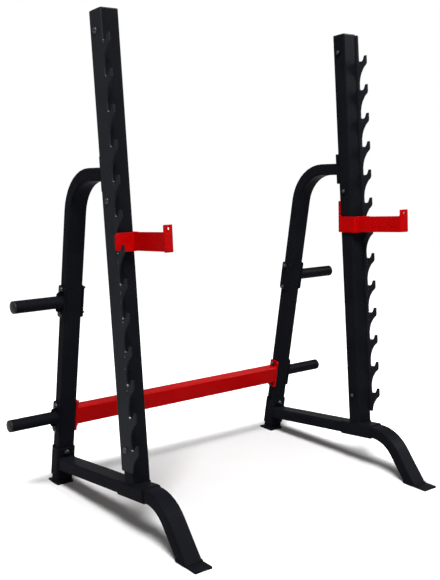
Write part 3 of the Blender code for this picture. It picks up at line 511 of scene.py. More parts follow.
def turned(profile, steps=48, flats=None):
    """Each (radius, height) row goes round the axis. Where a row is marked in flats it is held inside
    a hexagon, whose edge is flat / cos of the angle from the nearest flat's middle."""
    profile = np.array(profile, float)
    angle = np.linspace(0, 2 * np.pi, steps, endpoint=False)
    radius = profile[:, :1] * np.ones(steps)
    if flats is not None:
        edge = 1 / np.cos((angle + np.pi / 6) % (np.pi / 3) - np.pi / 6)
        limit = np.array([math.inf if flat is None else flat for flat in flats])[:, None] * edge
        radius = np.minimum(radius, limit)
    height = np.broadcast_to(profile[:, 1:], radius.shape)
    return np.stack([radius * np.cos(angle), radius * np.sin(angle), height], -1)


def plate(outline, wall, edge, steps=3):
    """Rows of an outline through the wall. Near each face a row is drawn in by e (1 - sin a) and
    lowered by e (1 - cos a), so the edges are quarter circles of radius e."""
    following = np.roll(outline, -1, 0)
    one, two = unit(outline - np.roll(outline, 1, 0)), unit(following - outline)
    area = np.sum(outline[:, 0] * following[:, 1] - following[:, 0] * outline[:, 1])
    spread = np.maximum(1 + np.sum(one * two, axis=1, keepdims=True), SHARPEST_MITRE)
    mitre = (left_of(one) + left_of(two)) / spread
    angle = np.linspace(0, np.pi / 2, steps + 1)
    inset = edge * (1 - np.sin(angle))
    height = wall / 2 - edge * (1 - np.cos(angle))
    inset = np.concatenate([inset, inset[::-1]])
    height = np.concatenate([height, -height[::-1]])
    flat = outline[None] + inset[:, None, None] * mitre * np.sign(area)
    return np.concatenate([flat, np.broadcast_to(height[:, None, None], (*flat.shape[:2], 1))], -1)


def strip(path, headings, distances, low, high, wall, edge):
    """A flat strip on edge: at each distance along its plan, a rounded rectangle as thick as the wall
    and reaching from low to high."""
    place = read_off(path, distances, path)
    normal = left_of(unit(read_off(path, distances, headings)))
    corner = rounded_rectangle(2 * edge, 2 * edge, edge, 3)
    sideways, upwards = (np.repeat(way, 4) for way in ((1, -1, -1, 1), (1, 1, -1, -1)))
    across = sideways * (wall / 2 - edge) + corner[:, 0]
    plan = place[:, None, :] + across[None, :, None] * normal[:, None, :]
    rise = np.where(upwards > 0, high[:, None] - edge, low[:, None] + edge) + corner[:, 1]
    return np.concatenate([plan, rise[..., None]], -1)


def bead(line, radius, pitch, closed=True, outwards=None):
    """A weld bead: a circle carried along the joint's line, its radius r (1 + a cos of one turn a
    pitch + b sin of a slow wander), thinner over the last r of an open end."""
    line = np.concatenate([line, line[:1]]) if closed else line
    length = path_length(line)
    distance = np.linspace(0, length, max(12, int(length / BEAD_STEP)), endpoint=not closed)
    place = read_off(line, distance, line)
    if closed:
        heading = unit(np.roll(place, -3, 0) - np.roll(place, 3, 0))
        side = place - place.mean(0)
    else:
        heading = unit(np.gradient(place, axis=0))
        side = np.broadcast_to(np.array(outwards, float), place.shape)
    side = unit(side - heading * np.sum(side * heading, axis=1, keepdims=True))
    up = np.cross(heading, side)
    phase = max(1, round(length / pitch)) * 2 * np.pi / length * distance
    ripple, wander = BEAD_SWELL
    swell = radius * (1 + ripple * np.cos(phase) + wander * np.sin(phase * 2 / 9))
    if not closed:
        swell = swell * np.clip(np.minimum(distance, length - distance) / radius, BEAD_TIP, 1)
    angle = np.linspace(0, 2 * np.pi, 10, endpoint=False)
    ring = side[:, None] * np.cos(angle)[None, :, None] + up[:, None] * np.sin(angle)[None, :, None]
    return shell(place[:, None] + swell[:, None, None] * ring, loop=closed)


# Meshes

def shell(rings, loop=False, wear=0.0):
    """A closed surface over a grid of rings: quads between neighbouring rows, and either the last row
    joined to the first or a flat face on each end."""
    rows, around = rings.shape[:2]
    i = np.arange(rows if loop else rows - 1)[:, None]
    j = np.arange(around)[None, :]
    right, below = (j + 1) % around, (i + 1) % rows
    corners = [i * around + j, i * around + right, below * around + right, below * around + j]
    links = np.stack(corners, -1).ravel()
    sizes = np.full(len(links) // 4, 4)
    if not loop:
        ends = [np.arange(around)[::-1], np.arange((rows - 1) * around, rows * around)]
        links = np.concatenate([links, *ends])
        sizes = np.concatenate([sizes, [around, around]])
    return rings.reshape(-1, 3), links, sizes, np.broadcast_to(wear, (rows, around)).ravel()


def mesh_of(name, shells):
    """One mesh from closed shells, its faces turned outwards, and for each point how worn it is: bare
    steel that also paints the hook seats' glints.
    """
    points, links, sizes, wear = (np.concatenate(column) for column in zip(*shells))
    counts = [len(part[0]) for part in shells]
    links = links + np.repeat(np.cumsum(counts) - counts, [len(part[1]) for part in shells])
    mesh = bpy.data.meshes.new(name)
    mesh.vertices.add(len(points))
    mesh.vertices.foreach_set("co", points.ravel())
    mesh.loops.add(len(links))
    mesh.loops.foreach_set("vertex_index", links.astype(np.int32))
    mesh.polygons.add(len(sizes))
    mesh.polygons.foreach_set("loop_start", (np.cumsum(sizes) - sizes).astype(np.int32))
    mesh.update(calc_edges=True)
    mesh.validate()
    mesh.attributes.new("wear", "FLOAT", "POINT").data.foreach_set("value", wear.astype(np.float32))
    work = bmesh.new()
    work.from_mesh(mesh)
    bmesh.ops.recalc_face_normals(work, faces=work.faces)
    work.to_mesh(mesh)
    work.free()
    return mesh


def new_object(name, data):
    """An object that is in the scene."""
    thing = bpy.data.objects.new(name, data)
    bpy.context.scene.collection.objects.link(thing)
    return thing


def add_piece(name, shells, slot, *nodes, body="frame", sharp=50):
    """Put a finished piece in the scene, shaded evenly, riding on its body in place of its nodes."""
    mesh = mesh_of(name, shells)
    mesh.materials.append(surface(slot))
    mesh.shade_smooth()
    mesh.set_sharp_from_angle(angle=math.radians(sharp))
    thing = new_object(name, mesh)
    even = thing.modifiers.new("even_shading", "WEIGHTED_NORMAL")
    even.keep_sharp = True
    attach(thing, body)
    if nodes:
        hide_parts(*nodes)
    return thing


def side_piece(side, name, shells, slot="frame_coat", node=None, **how):
    """A finished piece of one side frame, in place of the node with its name or of the one given."""
    return add_piece(f"{side}_{name}", shells, slot, f"{node or name}_{side}", **how)


def plate_edge():
    return bpy.context.scene.rack_detail.plate_edge


def slab(spot, outline, wall, edge=None):
    """A closed plate, laid in its place. Its edges are as round as the panel says unless told."""
    return shell(spot(plate(outline, wall, edge or plate_edge())))


# Shader arithmetic

class Wire:
    """A socket that takes part in sums: each sign adds its Math node."""

    def __init__(self, tree, socket):
        self.tree, self.socket = tree, socket

    def maths(self, operation, *values):
        return self.tree.node("ShaderNodeMath", {"operation": operation}, dict(enumerate(values)))

    def __add__(self, other):
        return self.maths("ADD", self, other)

    def __sub__(self, other):
        return self.maths("SUBTRACT", self, other)

    def __rsub__(self, other):
        return self.maths("SUBTRACT", other, self)

    def __mul__(self, other):
        return self.maths("MULTIPLY", self, other)

    def above(self, low, high):
        """0 below low, 1 above high and an even slope between."""
        values = {0: self, 1: low, 2: high, 3: 0.0, 4: 1.0}
        return self.tree.node("ShaderNodeMapRange", {"clamp": True}, values)

    __radd__ = __add__
    __rmul__ = __mul__


class Tree:
    """The nodes of a material or of the world, which every method here adds to."""

    def __init__(self, owner, kind="Material"):
        owner.use_nodes = True
        self.owner, self.kind = owner, kind
        self.nodes, self.links = owner.node_tree.nodes, owner.node_tree.links
        self.nodes.clear()

    def node(self, kind, settings, values, out=0):
        """Add a node: its settings first, then a value or a link for each socket named."""
        made = self.nodes.new(kind)
        for name, value in settings.items():
            setattr(made, name, value)
        for name, value in values.items():
            socket = made.inputs[name]
            if isinstance(value, Wire):
                self.links.new(value.socket, socket)
            else:
                socket.default_value = value
        return Wire(self, made.outputs[out]) if made.outputs else None

    def place(self):
        return self.node("ShaderNodeTexCoord", {}, {}, out="Object")

    def noise(self, scale, detail):
        values = {"Vector": self.place(), "Scale": scale, "Detail": detail}
        return self.node("ShaderNodeTexNoise", {}, values)

    def vector(self, operation, *values, out=0):
        return self.node("ShaderNodeVectorMath", {"operation": operation}, dict(enumerate(values)), out)

    def mix(self, share, one, two):
        """One colour into another."""
        return self.node("ShaderNodeMix", {"data_type": "RGBA"}, {0: share, 6: one, 7: two}, out=2)

    def rays(self):
        """1 to the camera, in reflections and through glass, and 0 to everything else."""
        kinds = ("Is Camera Ray", "Is Glossy Ray", "Is Transmission Ray")
        seen, glossy, through = (self.node("ShaderNodeLightPath", {}, {}, out=kind) for kind in kinds)
        return seen + glossy + through

    def bumpy(self, strength, distance, height, values):
        """Finish as a principled surface with a bump."""
        bump = {"Strength": strength, "Distance": distance, "Height": height}
        values["Normal"] = self.node("ShaderNodeBump", {}, bump)
        return self.finish(self.node("ShaderNodeBsdfPrincipled", {}, values))

    def finish(self, shader):
        self.node(f"ShaderNodeOutput{self.kind}", {}, {"Surface": shader})
        return self.owner


def shade(colour, share):
    """A colour made lighter or darker, as a socket takes it."""
    return (*(min(1.0, channel * share) for channel in colour), 1.0)


def coat(tree, finish, colour, roughness, specular, cloud):
    """Powder coat: orange-peel bump, faint clouds in its colour, fine pale specks, and bare steel where
    the attribute of worn points is high and a noise breaks its edge. The bare steel is worn paint and
    also
    a painted highlight: it is the small bright glint on each hook seat."""
    peel = tree.noise(900.0, 2.0)
    clouds = tree.noise(9.0, 3.0)
    specks = tree.noise(2600.0, 0.0)
    scuffs = tree.noise(260.0, 4.0)
    worn = tree.node("ShaderNodeAttribute", {"attribute_name": "wear"}, {}, out="Fac")
    # Bare steel: worn paint on the hook seats, which also paints each seat's glint
    bare = (worn + scuffs * 0.9 - 0.45).above(0.52, 0.62)
    base = tree.mix(clouds.above(0.3, 0.7), shade(colour, 1 - cloud), shade(colour, 1 + cloud))
    base = tree.mix(specks.above(0.62, 0.74) * 0.35, base, shade(colour, 2.2))
    base = tree.mix(bare, base, shade(finish.steel_colour, 1))
    rough = (clouds - 0.5) * 0.10 + (peel - 0.5) * 0.12 + roughness - bare * 0.12
    values = {"Base Color": base, "Roughness": rough, "Metallic": bare, "Specular IOR Level": specular}
    return tree.bumpy(0.55, finish.grain, peel + scuffs * 0.3 - bare * 0.8, values)


def plastic(tree, colour):
    """Moulded plastic: a fine matt texture and slightly uneven gloss."""
    clouds = tree.noise(30.0, 2.0)
    base = tree.mix(clouds.above(0.3, 0.7), shade(colour, 0.85), shade(colour, 1.2))
    rough = (clouds - 0.5) * 0.12 + 0.5
    values = {"Base Color": base, "Roughness": rough, "Specular IOR Level": PLASTIC_SPECULAR}
    return tree.bumpy(0.4, 0.00015, tree.noise(1500.0, 1.0), values)


def zinc(tree, colour):
    """Zinc plating: a cloudy metal with fine turning marks and duller patches."""
    patches = tree.noise(160.0, 3.0)
    base = tree.mix(patches.above(0.35, 0.65), shade(colour, 0.75), shade(colour, 1.3))
    rough = (patches - 0.5) * 0.2 + 0.34
    values = {"Base Color": base, "Roughness": rough, "Metallic": 1.0}
    return tree.bumpy(0.3, 0.0001, tree.noise(1800.0, 2.0), values)


def surface(slot):
    """The material of one finish, made when it is first asked for."""
    name = f"finished_{slot}"
    if name in bpy.data.materials:
        return bpy.data.materials[name]
    tree, finish = Tree(bpy.data.materials.new(name)), bpy.context.scene.rack_finish
    if slot == "black_plastic":
        return plastic(tree, finish.plastic_colour)
    if slot == "dark_zinc":
        return zinc(tree, finish.zinc_colour)
    colour, roughness = {
        "frame_coat": (finish.coat_colour, finish.coat_roughness),
        "hook_coat": (finish.hook_colour, finish.coat_roughness),
        "red_coat": (finish.red_colour, finish.red_roughness),
    }[slot]
    return coat(tree, finish, colour, roughness, SPECULAR[slot], CLOUD[slot])


def weld(name, lines, radius=None, slot="frame_coat", body="frame", closed=True, outwards=None):
    """One piece for the beads of a joint."""
    detail = bpy.context.scene.rack_detail
    radius = radius or detail.weld_radius
    shells = [bead(line, radius, detail.weld_pitch, closed, outwards) for line in lines]
    add_piece(name, shells, slot, body=body)


def make_tube(side, name, path, headings, depth, cuts, welds, rows=(0, -1)):
    """A hollow tube: the outer wall's rows, then the inner wall's rows back again. A bead lies round
    each end of the outer wall that rows names."""
    outer, inner = (
        carried(side, path, headings, tube_section(TUBE_WIDTH, depth, inset), cuts)
        for inset in (0, TUBE_WALL)
    )
    side_piece(side, name, [shell(np.concatenate([outer, inner[::-1]]), loop=True)])
    weld(f"{side}_{welds}", [outer[row] for row in rows])


# Uprights

def rail_height_at(y):
    """Height of the rail's middle line: it falls evenly towards the rear."""
    return RAIL_HEIGHT - math.tan(RAIL_SLOPE) * (y - UPRIGHT_Y)


def make_upright(side):
    path = upright_of(side).yz(UPRIGHT_DEPTH / 2, np.array([-SPARE, UPRIGHT_LENGTH]))
    headings = np.repeat(unit(path[1] - path[0])[None], 2, 0)
    foot = np.array([UPRIGHT_Y, UPRIGHT_Z]) + RAIL_NORMAL * GAP
    cuts = ((foot, RAIL_NORMAL), None)
    make_tube(side, "upright", path, headings, UPRIGHT_DEPTH, cuts, "upright_weld", (0,))


def make_upright_cap(side):
    """A plastic plug whose top is a low dome: its rim rises by a quarter circle, then a wide arc."""
    plug = TUBE_WALL + GAP
    angle = np.linspace(0, np.pi / 2, 6)
    rim = [(CAP_RISE * (1 - math.cos(a)), CAP_RIM - CAP_RISE * (1 - math.sin(a))) for a in angle]
    dome = [(CAP_RISE + CAP_DOME * s, CAP_RIM + CAP_RISE * s * (2 - s)) for s in (0.15, 0.4, 0.7, 1.0)]
    profile = [
        (plug + PLUG_TAPER, -CAP_PLUG), (plug, -CAP_PLUG + 2 * PLUG_TAPER), (plug, 0), (0, 0),
        *rim, *dome,
    ]
    rings = boxed(TUBE_WIDTH, UPRIGHT_DEPTH, TUBE_CORNER, profile)
    spot = laid(upright_of(side), ALONG, (0, UPRIGHT_DEPTH / 2, UPRIGHT_LENGTH + GAP))
    side_piece(side, "upright_cap", [shell(spot(rings))], "black_plastic")


# Hook plates

def hook_outline():
    """The plate's outline (backwards, along) and how worn each point is, where the bare steel also
    paints a glint at each seat's back: 1.35 minus its distance from a shaft's place in the nearest seat
    divided by the worn patch's reach, held between 0 and 1."""
    corners = [(-UPRIGHT_DEPTH, PLATE_BOTTOM, PLATE_CORNER), (PLATE_EDGE, PLATE_BOTTOM, PLATE_CORNER)]
    for seat in LOWEST_SEAT + np.arange(HOOK_COUNT) * HOOK_PITCH:
        hook = [(reach, seat + rise, radius) for reach, rise, radius in HOOK_SHAPE]
        corners += [corner for corner in hook if corner[1] > PLATE_BOTTOM]
    corners.append((PLATE_EDGE, UPRIGHT_LENGTH, PLATE_TOP_CORNER))
    corners.append((-UPRIGHT_DEPTH, UPRIGHT_LENGTH, PLATE_CORNER))
    outline = rounded_outline([(-reach, height, radius) for reach, height, radius in corners])
    above = (outline[:, 1] - LOWEST_SEAT + HOOK_PITCH / 2) % HOOK_PITCH - HOOK_PITCH / 2
    away = np.hypot(-outline[:, 0] - WORN_GLINT_SPOT[0], above - WORN_GLINT_SPOT[1])
    return outline, np.clip(1.35 - away / WORN_GLINT_REACH, 0, 1)


def make_hook_plate(side):
    outline, worn = hook_outline()
    rings = plate(outline, PLATE_WALL, plate_edge())
    spot = laid(upright_of(side), OUTWARDS, (HALF_TUBE + GAP + PLATE_WALL / 2, 0, 0))
    # Worn bare steel on each seat, partly a painted glint; the faces take less of it than the edge
    wear = np.repeat(worn[None], len(rings), 0)
    wear[[0, -1]] *= FACE_WEAR_AND_GLINT
    side_piece(side, "hook_plate", [shell(spot(rings), wear=wear)], "hook_coat")


# Fasteners

def bolt_shells(spot, grip, head, tail):
    """A button head with a hexagon key hole and a washer, the shank, and a chamfered nut."""
    key, base = SOCKET_KEY_RADIUS, WASHER_WALL
    hole = [(key * share, head * depth + base) for share, depth in KEY_HOLE]
    dome = [(BOLT_HEAD_RADIUS * math.sin(a), base + head * math.cos(a)) for a in HEAD_ANGLES]
    under = [(BOLT_HEAD_RADIUS * HEAD_FOOT, base), (BOLT_RADIUS, base), (BOLT_RADIUS, -SHANK_REACH)]
    profile = hole + dome + under
    drawn_in, left = WASHER_CHAMFER
    washer = [
        (BOLT_RADIUS, base), (WASHER_RADIUS - drawn_in, base), (WASHER_RADIUS, base * left),
        (WASHER_RADIUS, 0), (BOLT_RADIUS, 0),
    ]
    flat = NUT_RADIUS * math.cos(math.pi / 6)
    top, end = -grip - 2 * GAP, -grip - 2 * GAP - NUT_HEIGHT
    width, depth = NUT_MOUTH
    nut = [
        (flat * NUT_FACE, top), (NUT_RADIUS, top - NUT_CHAMFER), (NUT_RADIUS, end + NUT_CHAMFER),
        (flat * NUT_FACE, end), (BOLT_RADIUS + width, end), (BOLT_RADIUS, end + depth),
    ]
    crests = np.arange(end + THREAD_START, end - tail + THREAD_STEP, -THREAD_STEP)
    thread = [(BOLT_RADIUS - THREAD_DEPTH * (i % 2), height) for i, height in enumerate(crests)]
    stub = [(BOLT_RADIUS, end + SHANK_REACH), *thread, (BOLT_RADIUS - BOLT_POINT, end - tail)]
    return [
        shell(spot(turned(profile, flats=[key, key] + [None] * (len(profile) - 2)))),
        shell(spot(turned(washer)), loop=True),
        shell(spot(turned(nut, flats=[flat] * len(nut)))),
        shell(spot(turned(stub, 24))),
    ]


def make_bolt(name, spot, grip, node, head=BOLT_HEAD_HEIGHT, tail=BOLT_END):
    add_piece(name, bolt_shells(spot, grip, head, tail), "dark_zinc", node, sharp=32)


def make_hook_plate_bolts(side):
    grip = PLATE_WALL + GAP + TUBE_WIDTH
    for number, height in enumerate(reversed(HOOK_BOLTS), start=1):
        spot = laid(upright_of(side), OUTWARDS, (HOOK_PLATE_OUTER + GAP, UPRIGHT_DEPTH / 2, height))
        make_bolt(f"{side}_hook_bolt_{number}", spot, grip, f"hook_plate_bolt_{side}_{number}")


def support_point(height):
    """Distance along the support's line of a point at the given height."""
    return height / math.cos(SUPPORT_TILT)


def beside_support(side, out, height):
    """Where a shape that points outwards from the support lies, at a height."""
    return laid(support_of(side), OUTWARDS, (out, 0, support_point(height)))


def make_peg_bolts(side):
    for name, (_, (low, high)) in LEVELS.items():
        for number, height in enumerate((high - PLATE_BOLT_INSET, low + PLATE_BOLT_INSET), start=1):
            make_bolt(
                f"{side}_{name}_peg_bolt_{number}", beside_support(side, PLATE_FACE + GAP, height),
                2 * PLATE_FACE, f"{name}_peg_bolt_{side}_{number}", PEG_BOLT_HEAD_HEIGHT, PEG_BOLT_END,
            )


def make_socket_bolt(side):
    reach = TUBE_DEPTH / 2 + GAP + SLEEVE_WALL
    height = support_point(SOCKET_HEIGHT - SOCKET_BOLT_INSET)
    spot = laid(support_of(side), BACKWARDS, (0, -reach - GAP, height), (1, -1, 1))
    make_bolt(f"{side}_socket_bolt", spot, 2 * reach, f"socket_bolt_{side}")


# Base rails, sleeves and feet

def make_base_rail(side):
    leg_y = FRONT + LEG_SETBACK
    rail_rise, leg_rise = math.tan(RAIL_SLOPE), math.tan(LEG_SLOPE)
    corner_y = (RAIL_HEIGHT + rail_rise * UPRIGHT_Y + leg_rise * leg_y) / (leg_rise + rail_rise)
    path, headings = bent_path(
        [(BACK, rail_height_at(BACK)), (corner_y, rail_height_at(corner_y)),
         (leg_y - SPARE / leg_rise, -SPARE)], RAIL_BEND,
    )
    facing = np.array([-math.cos(SUPPORT_TILT), -math.sin(SUPPORT_TILT)])
    socket = np.array([SUPPORT_Y, 0]) + facing * TUBE_DEPTH / 2 + facing * (2 * GAP + SLEEVE_WALL)
    make_tube(side, "base_rail", path, headings, TUBE_DEPTH, ((socket, facing), FOOT_CUT), "rail_welds")


def make_sleeve(side, name, spot, length):
    """A short tube round the rail or the support: its outside, rounded rims and bore."""
    half, wall = length / 2, SLEEVE_WALL
    profile = [
        (0, RIM - half), (0, half - RIM), (RIM, half), (wall - RIM, half), (wall, half - RIM),
        (wall, RIM - half), (wall - RIM, -half), (RIM, -half),
    ]
    spread = 2 * (GAP + SLEEVE_WALL)
    rings = boxed(TUBE_WIDTH + spread, TUBE_DEPTH + spread, TUBE_CORNER + SLEEVE_WALL, profile)
    side_piece(side, name, [shell(spot(rings), loop=True)])


def make_base_sleeve(side):
    y = UPRIGHT_Y + (SLEEVE_LENGTH / 2 - SLEEVE_FRONT) * math.cos(RAIL_SLOPE)
    spot = laid(Member(side, y, rail_height_at(y), math.pi / 2 - RAIL_SLOPE), ALONG)
    make_sleeve(side, "base_sleeve", spot, SLEEVE_LENGTH)
    section = tube_section(TUBE_WIDTH, TUBE_DEPTH)
    ends = [spot(level(section, way * SLEEVE_LENGTH / 2)) for way in (-1, 1)]
    weld(f"{side}_sleeve_welds", ends, SLEEVE_WELD)


def make_feet(side):
    for end, edge, length in (("front", FRONT, FRONT_FOOT_LENGTH), ("rear", BACK, -REAR_FOOT_LENGTH)):
        spot = laid(Member(side, 0, 0, 0), ALONG, (0, edge + length / 2, FOOT_WALL / 2))
        outline = rounded_box(TUBE_WIDTH, abs(length), FOOT_CORNER)
        shells = [slab(spot, outline, FOOT_WALL, FOOT_EDGE)]
        side_piece(side, f"{end}_foot", shells, node=f"{end}_foot_plate")


# Rear supports, sockets and flanges

def make_rear_support(side):
    tilt, drop = math.tan(SUPPORT_TILT), math.tan(SUPPORT_RUN_DROP)
    level_y = SUPPORT_Y - tilt * SUPPORT_RUN_HEIGHT
    upright = upright_of(side)
    run_start = float(upright.yz(UPRIGHT_DEPTH, FLANGE_CENTRE)[0])
    fall = drop * (level_y - run_start) / (1 - drop * tilt)
    path, headings = bent_path(
        [(SUPPORT_Y + tilt * SPARE, -SPARE), (level_y + tilt * fall, SUPPORT_RUN_HEIGHT - fall),
         (run_start - SPARE, SUPPORT_RUN_HEIGHT + drop * SPARE)], SUPPORT_BEND,
    )
    back = upright.yz(UPRIGHT_DEPTH + 2 * GAP + FLANGE_WALL, FLANGE_CENTRE)
    facing = np.array([math.cos(UPRIGHT_LEAN), -math.sin(UPRIGHT_LEAN)])
    cuts = (FOOT_CUT, (back, facing))
    make_tube(side, "rear_support", path, headings, TUBE_DEPTH, cuts, "support_welds")


def make_support_flange(side):
    outline = rounded_box(FLANGE_WIDTH, FLANGE_HEIGHT, FLANGE_CORNER)
    middle = UPRIGHT_DEPTH + GAP + FLANGE_WALL / 2
    spot = laid(upright_of(side), BACKWARDS, (0, middle, FLANGE_CENTRE))
    side_piece(side, "support_flange", [slab(spot, outline, FLANGE_WALL, FLANGE_EDGE)])
    weld(f"{side}_flange_weld", [spot(level(outline * FLANGE_WELD_LINE, -FLANGE_WALL / 2))], FLANGE_WELD)


def make_rear_socket(side):
    low, high = support_point(SOCKET_BOTTOM), support_point(SOCKET_HEIGHT)
    spot = laid(support_of(side), ALONG, (0, 0, (low + high) / 2))
    make_sleeve(side, "rear_socket", spot, high - low)
    under = level(tube_section(TUBE_WIDTH, TUBE_DEPTH), (low - high) / 2)
    weld(f"{side}_socket_weld", [spot(under)], SOCKET_WELD)


# Plates, pegs and the cross member

def side_plate(side, levels, out):
    """A plate along the support's side, from one level up to the other."""
    outline = rounded_box(PEG_PLATE_WIDTH, support_point(levels[1] - levels[0]), PEG_PLATE_CORNER)
    return slab(beside_support(side, out, sum(levels) / 2), outline, PEG_PLATE_WALL)


def gusset(side, height, way):
    """The rounded lug above or below a peg's root."""
    near, far = PEG_RADIUS - OVERLAP, PEG_RADIUS + GUSSET_HEIGHT
    inner, outer = PLATE_FACE - OVERLAP, PLATE_FACE + GUSSET_REACH
    outline = rounded_outline([
        (inner, way * near, 0), (outer, way * near, GUSSET_TOE), (outer, way * far, GUSSET_ROUND),
        (inner, way * far, 0),
    ])
    spot = laid(support_of(side), BACKWARDS, (0, 0, support_point(height)))
    return slab(spot, outline, GUSSET_WALL, RIM)


def make_pegs(side):
    """The pegs, each with its plate, its lugs, its bead and its cap. A cap is a plug with a rim and a
    dome: a quarter turn of an ellipse as high as the rise."""
    length = PEG_LENGTH - GAP - PEG_CAP_RIM - PEG_CAP_RISE
    inner = PEG_RADIUS - PEG_WALL
    wall = [
        (PEG_RADIUS, 0), (PEG_RADIUS, length - RIM), (PEG_RADIUS - RIM, length), (inner + RIM, length),
        (inner, length - RIM), (inner, 0),
    ]
    plug = inner - GAP
    angle = np.radians((90, 80, 70, 60, 48, 36, 24, 12, 3))
    cap = [
        (plug - PLUG_TAPER, -PEG_CAP_PLUG), (plug, -PEG_CAP_PLUG + PLUG_TAPER), (plug, 0),
        (PEG_RADIUS - PEG_CAP_CHAMFER, 0), (PEG_RADIUS, PEG_CAP_CHAMFER),
        *((PEG_RADIUS * math.sin(a), PEG_CAP_RIM + PEG_CAP_RISE * math.cos(a)) for a in angle),
    ]
    for name, (height, levels) in LEVELS.items():
        shells = [side_plate(side, levels, PLATE_FACE - PEG_PLATE_WALL / 2)]
        shells += [gusset(side, height, way) for way in (1, -1)]
        side_piece(side, f"{name}_peg_plate", shells)
        root = beside_support(side, PLATE_FACE + GAP, height)
        side_piece(side, f"{name}_peg", [shell(root(turned(wall, PEG_STEPS)), loop=True)])
        weld(f"{side}_{name}_peg_weld", [root(turned([(PEG_RADIUS, 0)], PEG_STEPS))[0]], PEG_WELD)
        end = beside_support(side, PLATE_FACE + GAP + length + GAP, height)
        side_piece(side, f"{name}_peg_cap", [shell(end(turned(cap, PEG_STEPS)))], "black_plastic")


def make_inner_plates(side):
    out = PEG_PLATE_WALL / 2 - PLATE_FACE
    side_piece(side, "upper_backing_plate", [side_plate(side, UPPER_PLATE, out)])
    side_piece(side, "cross_member_end_plate", [side_plate(side, LOWER_PLATE, out)], "red_coat")


def make_cross_member():
    """The red tube between the two end plates: its section turned with the supports."""
    spot = beside_support("left", 0, CROSS_CENTRE)
    ends = (-PLATE_FACE - GAP, PLATE_FACE + GAP - UPRIGHT_SPACING)
    outer, inner = (
        spot(np.array([level(tube_section(TUBE_DEPTH, CROSS_HEIGHT, inset), x) for x in ends]))
        for inset in (0, TUBE_WALL)
    )
    walls = shell(np.concatenate([outer, inner[::-1]]), loop=True)
    add_piece("cross_member_tube", [walls], "red_coat", "cross_member")
    weld("cross_member_welds", [outer[0], outer[1]], CROSS_WELD, "red_coat")


# Spotters

def round_end(distance, radius):
    """How far a corner's quarter circle stands off at a distance from the end."""
    inside = np.clip(radius - distance, 0, radius)
    return radius - np.sqrt(radius ** 2 - inside ** 2)


def bracket_rings(edge):
    """The bent strip: its plan from the tongue's tip round the upright, and its low and high edges. The
    tongue's corners are quarter circles, its underside is notched, and the rear flange stands tall."""
    tip = HOOK_PLATE_OUTER + TONGUE_REACH
    inner = -HALF_TUBE - SLIDE_GAP - STRIP_WALL / 2
    rear = REAR_FRONT + STRIP_WALL / 2
    end = REAR_REACH - HALF_TUBE - SLIDE_GAP
    plan = [(tip, 0), (inner, 0), (inner, rear), (end, rear)]
    path, headings = bent_path(plan, STRIP_BEND + STRIP_WALL / 2)
    length = path_length(path)
    notch = tip - HALF_TUBE + TONGUE_SHOULDER
    step = length - (end - inner) - STRIP_WALL / 2 - STRIP_BEND
    distances = np.unique(np.concatenate([
        np.linspace(0, TONGUE_TOP_CORNER, 15), np.linspace(0, length, 120), [notch, notch + NOTCH_RUN],
        step - REAR_CORNER * np.linspace(0, 1, 10), [step + STEP_RUN],
        length - STRIP_CORNER * np.array([0, 0.25, 0.5, 1]),
    ]))
    low = np.where(distances <= notch, TONGUE_SEAT_GAP, -STRIP_DROP)
    low = low + round_end(distances, TONGUE_LOW_CORNER) + round_end(length - distances, STRIP_CORNER)
    rise = round_end(step - distances, REAR_CORNER) * (distances <= step)
    high = np.where(distances > step, REAR_TOP, STRIP_TOP + rise)
    high = high - round_end(distances, TONGUE_TOP_CORNER) - round_end(length - distances, STRIP_CORNER)
    return strip(path, headings, distances, low, high, STRIP_WALL, edge)


def arm_rings(edge):
    """The arm: its plan runs forwards and folds outwards, and its top steps up to the tab's."""
    root, front = -STRIP_WALL / 2 + OVERLAP, TAB_FRONT + ARM_WALL / 2
    middle = ARM_INNER + ARM_WALL / 2
    plan = [(middle, root), (middle, front), (ARM_INNER + TAB_WIDTH, front)]
    path, headings = bent_path(plan, STRIP_BEND + ARM_WALL / 2)
    length = path_length(path)
    step = root - (TAB_FRONT + ARM_WALL + STRIP_BEND)
    distances = np.unique(np.concatenate([
        np.linspace(0, length, 90), step - TAB_CORNER * np.linspace(0, 1, 9), [step + STEP_RUN],
        length - np.array([0, 0.0003, 0.0008, 0.0015, 0.0022, 0.003]),
    ]))
    end = round_end(length - distances, TAB_END_CORNER)
    rise = round_end(step - distances, TAB_CORNER) * (distances <= step)
    high = np.where(distances > step, TAB_HEIGHT, ARM_HEIGHT + rise) - end
    return strip(path, headings, distances, end, high, ARM_WALL, edge)


def bore(thing, spot, radius, reach):
    """Cut a round hole through a piece, with its cutter taken away again."""
    rings = spot(turned([(radius, -reach), (radius, reach)], 40))
    cutter = new_object("hole_cutter", mesh_of("hole_cutter", [shell(rings)]))
    cut = thing.modifiers.new("hole", "BOOLEAN")
    cut.operation, cut.solver, cut.object = "DIFFERENCE", "EXACT", cutter
    thing.modifiers.move(len(thing.modifiers) - 1, 0)
    with bpy.context.temp_override(object=thing):
        bpy.ops.object.modifier_apply(modifier=cut.name)
    bpy.data.objects.remove(cutter)


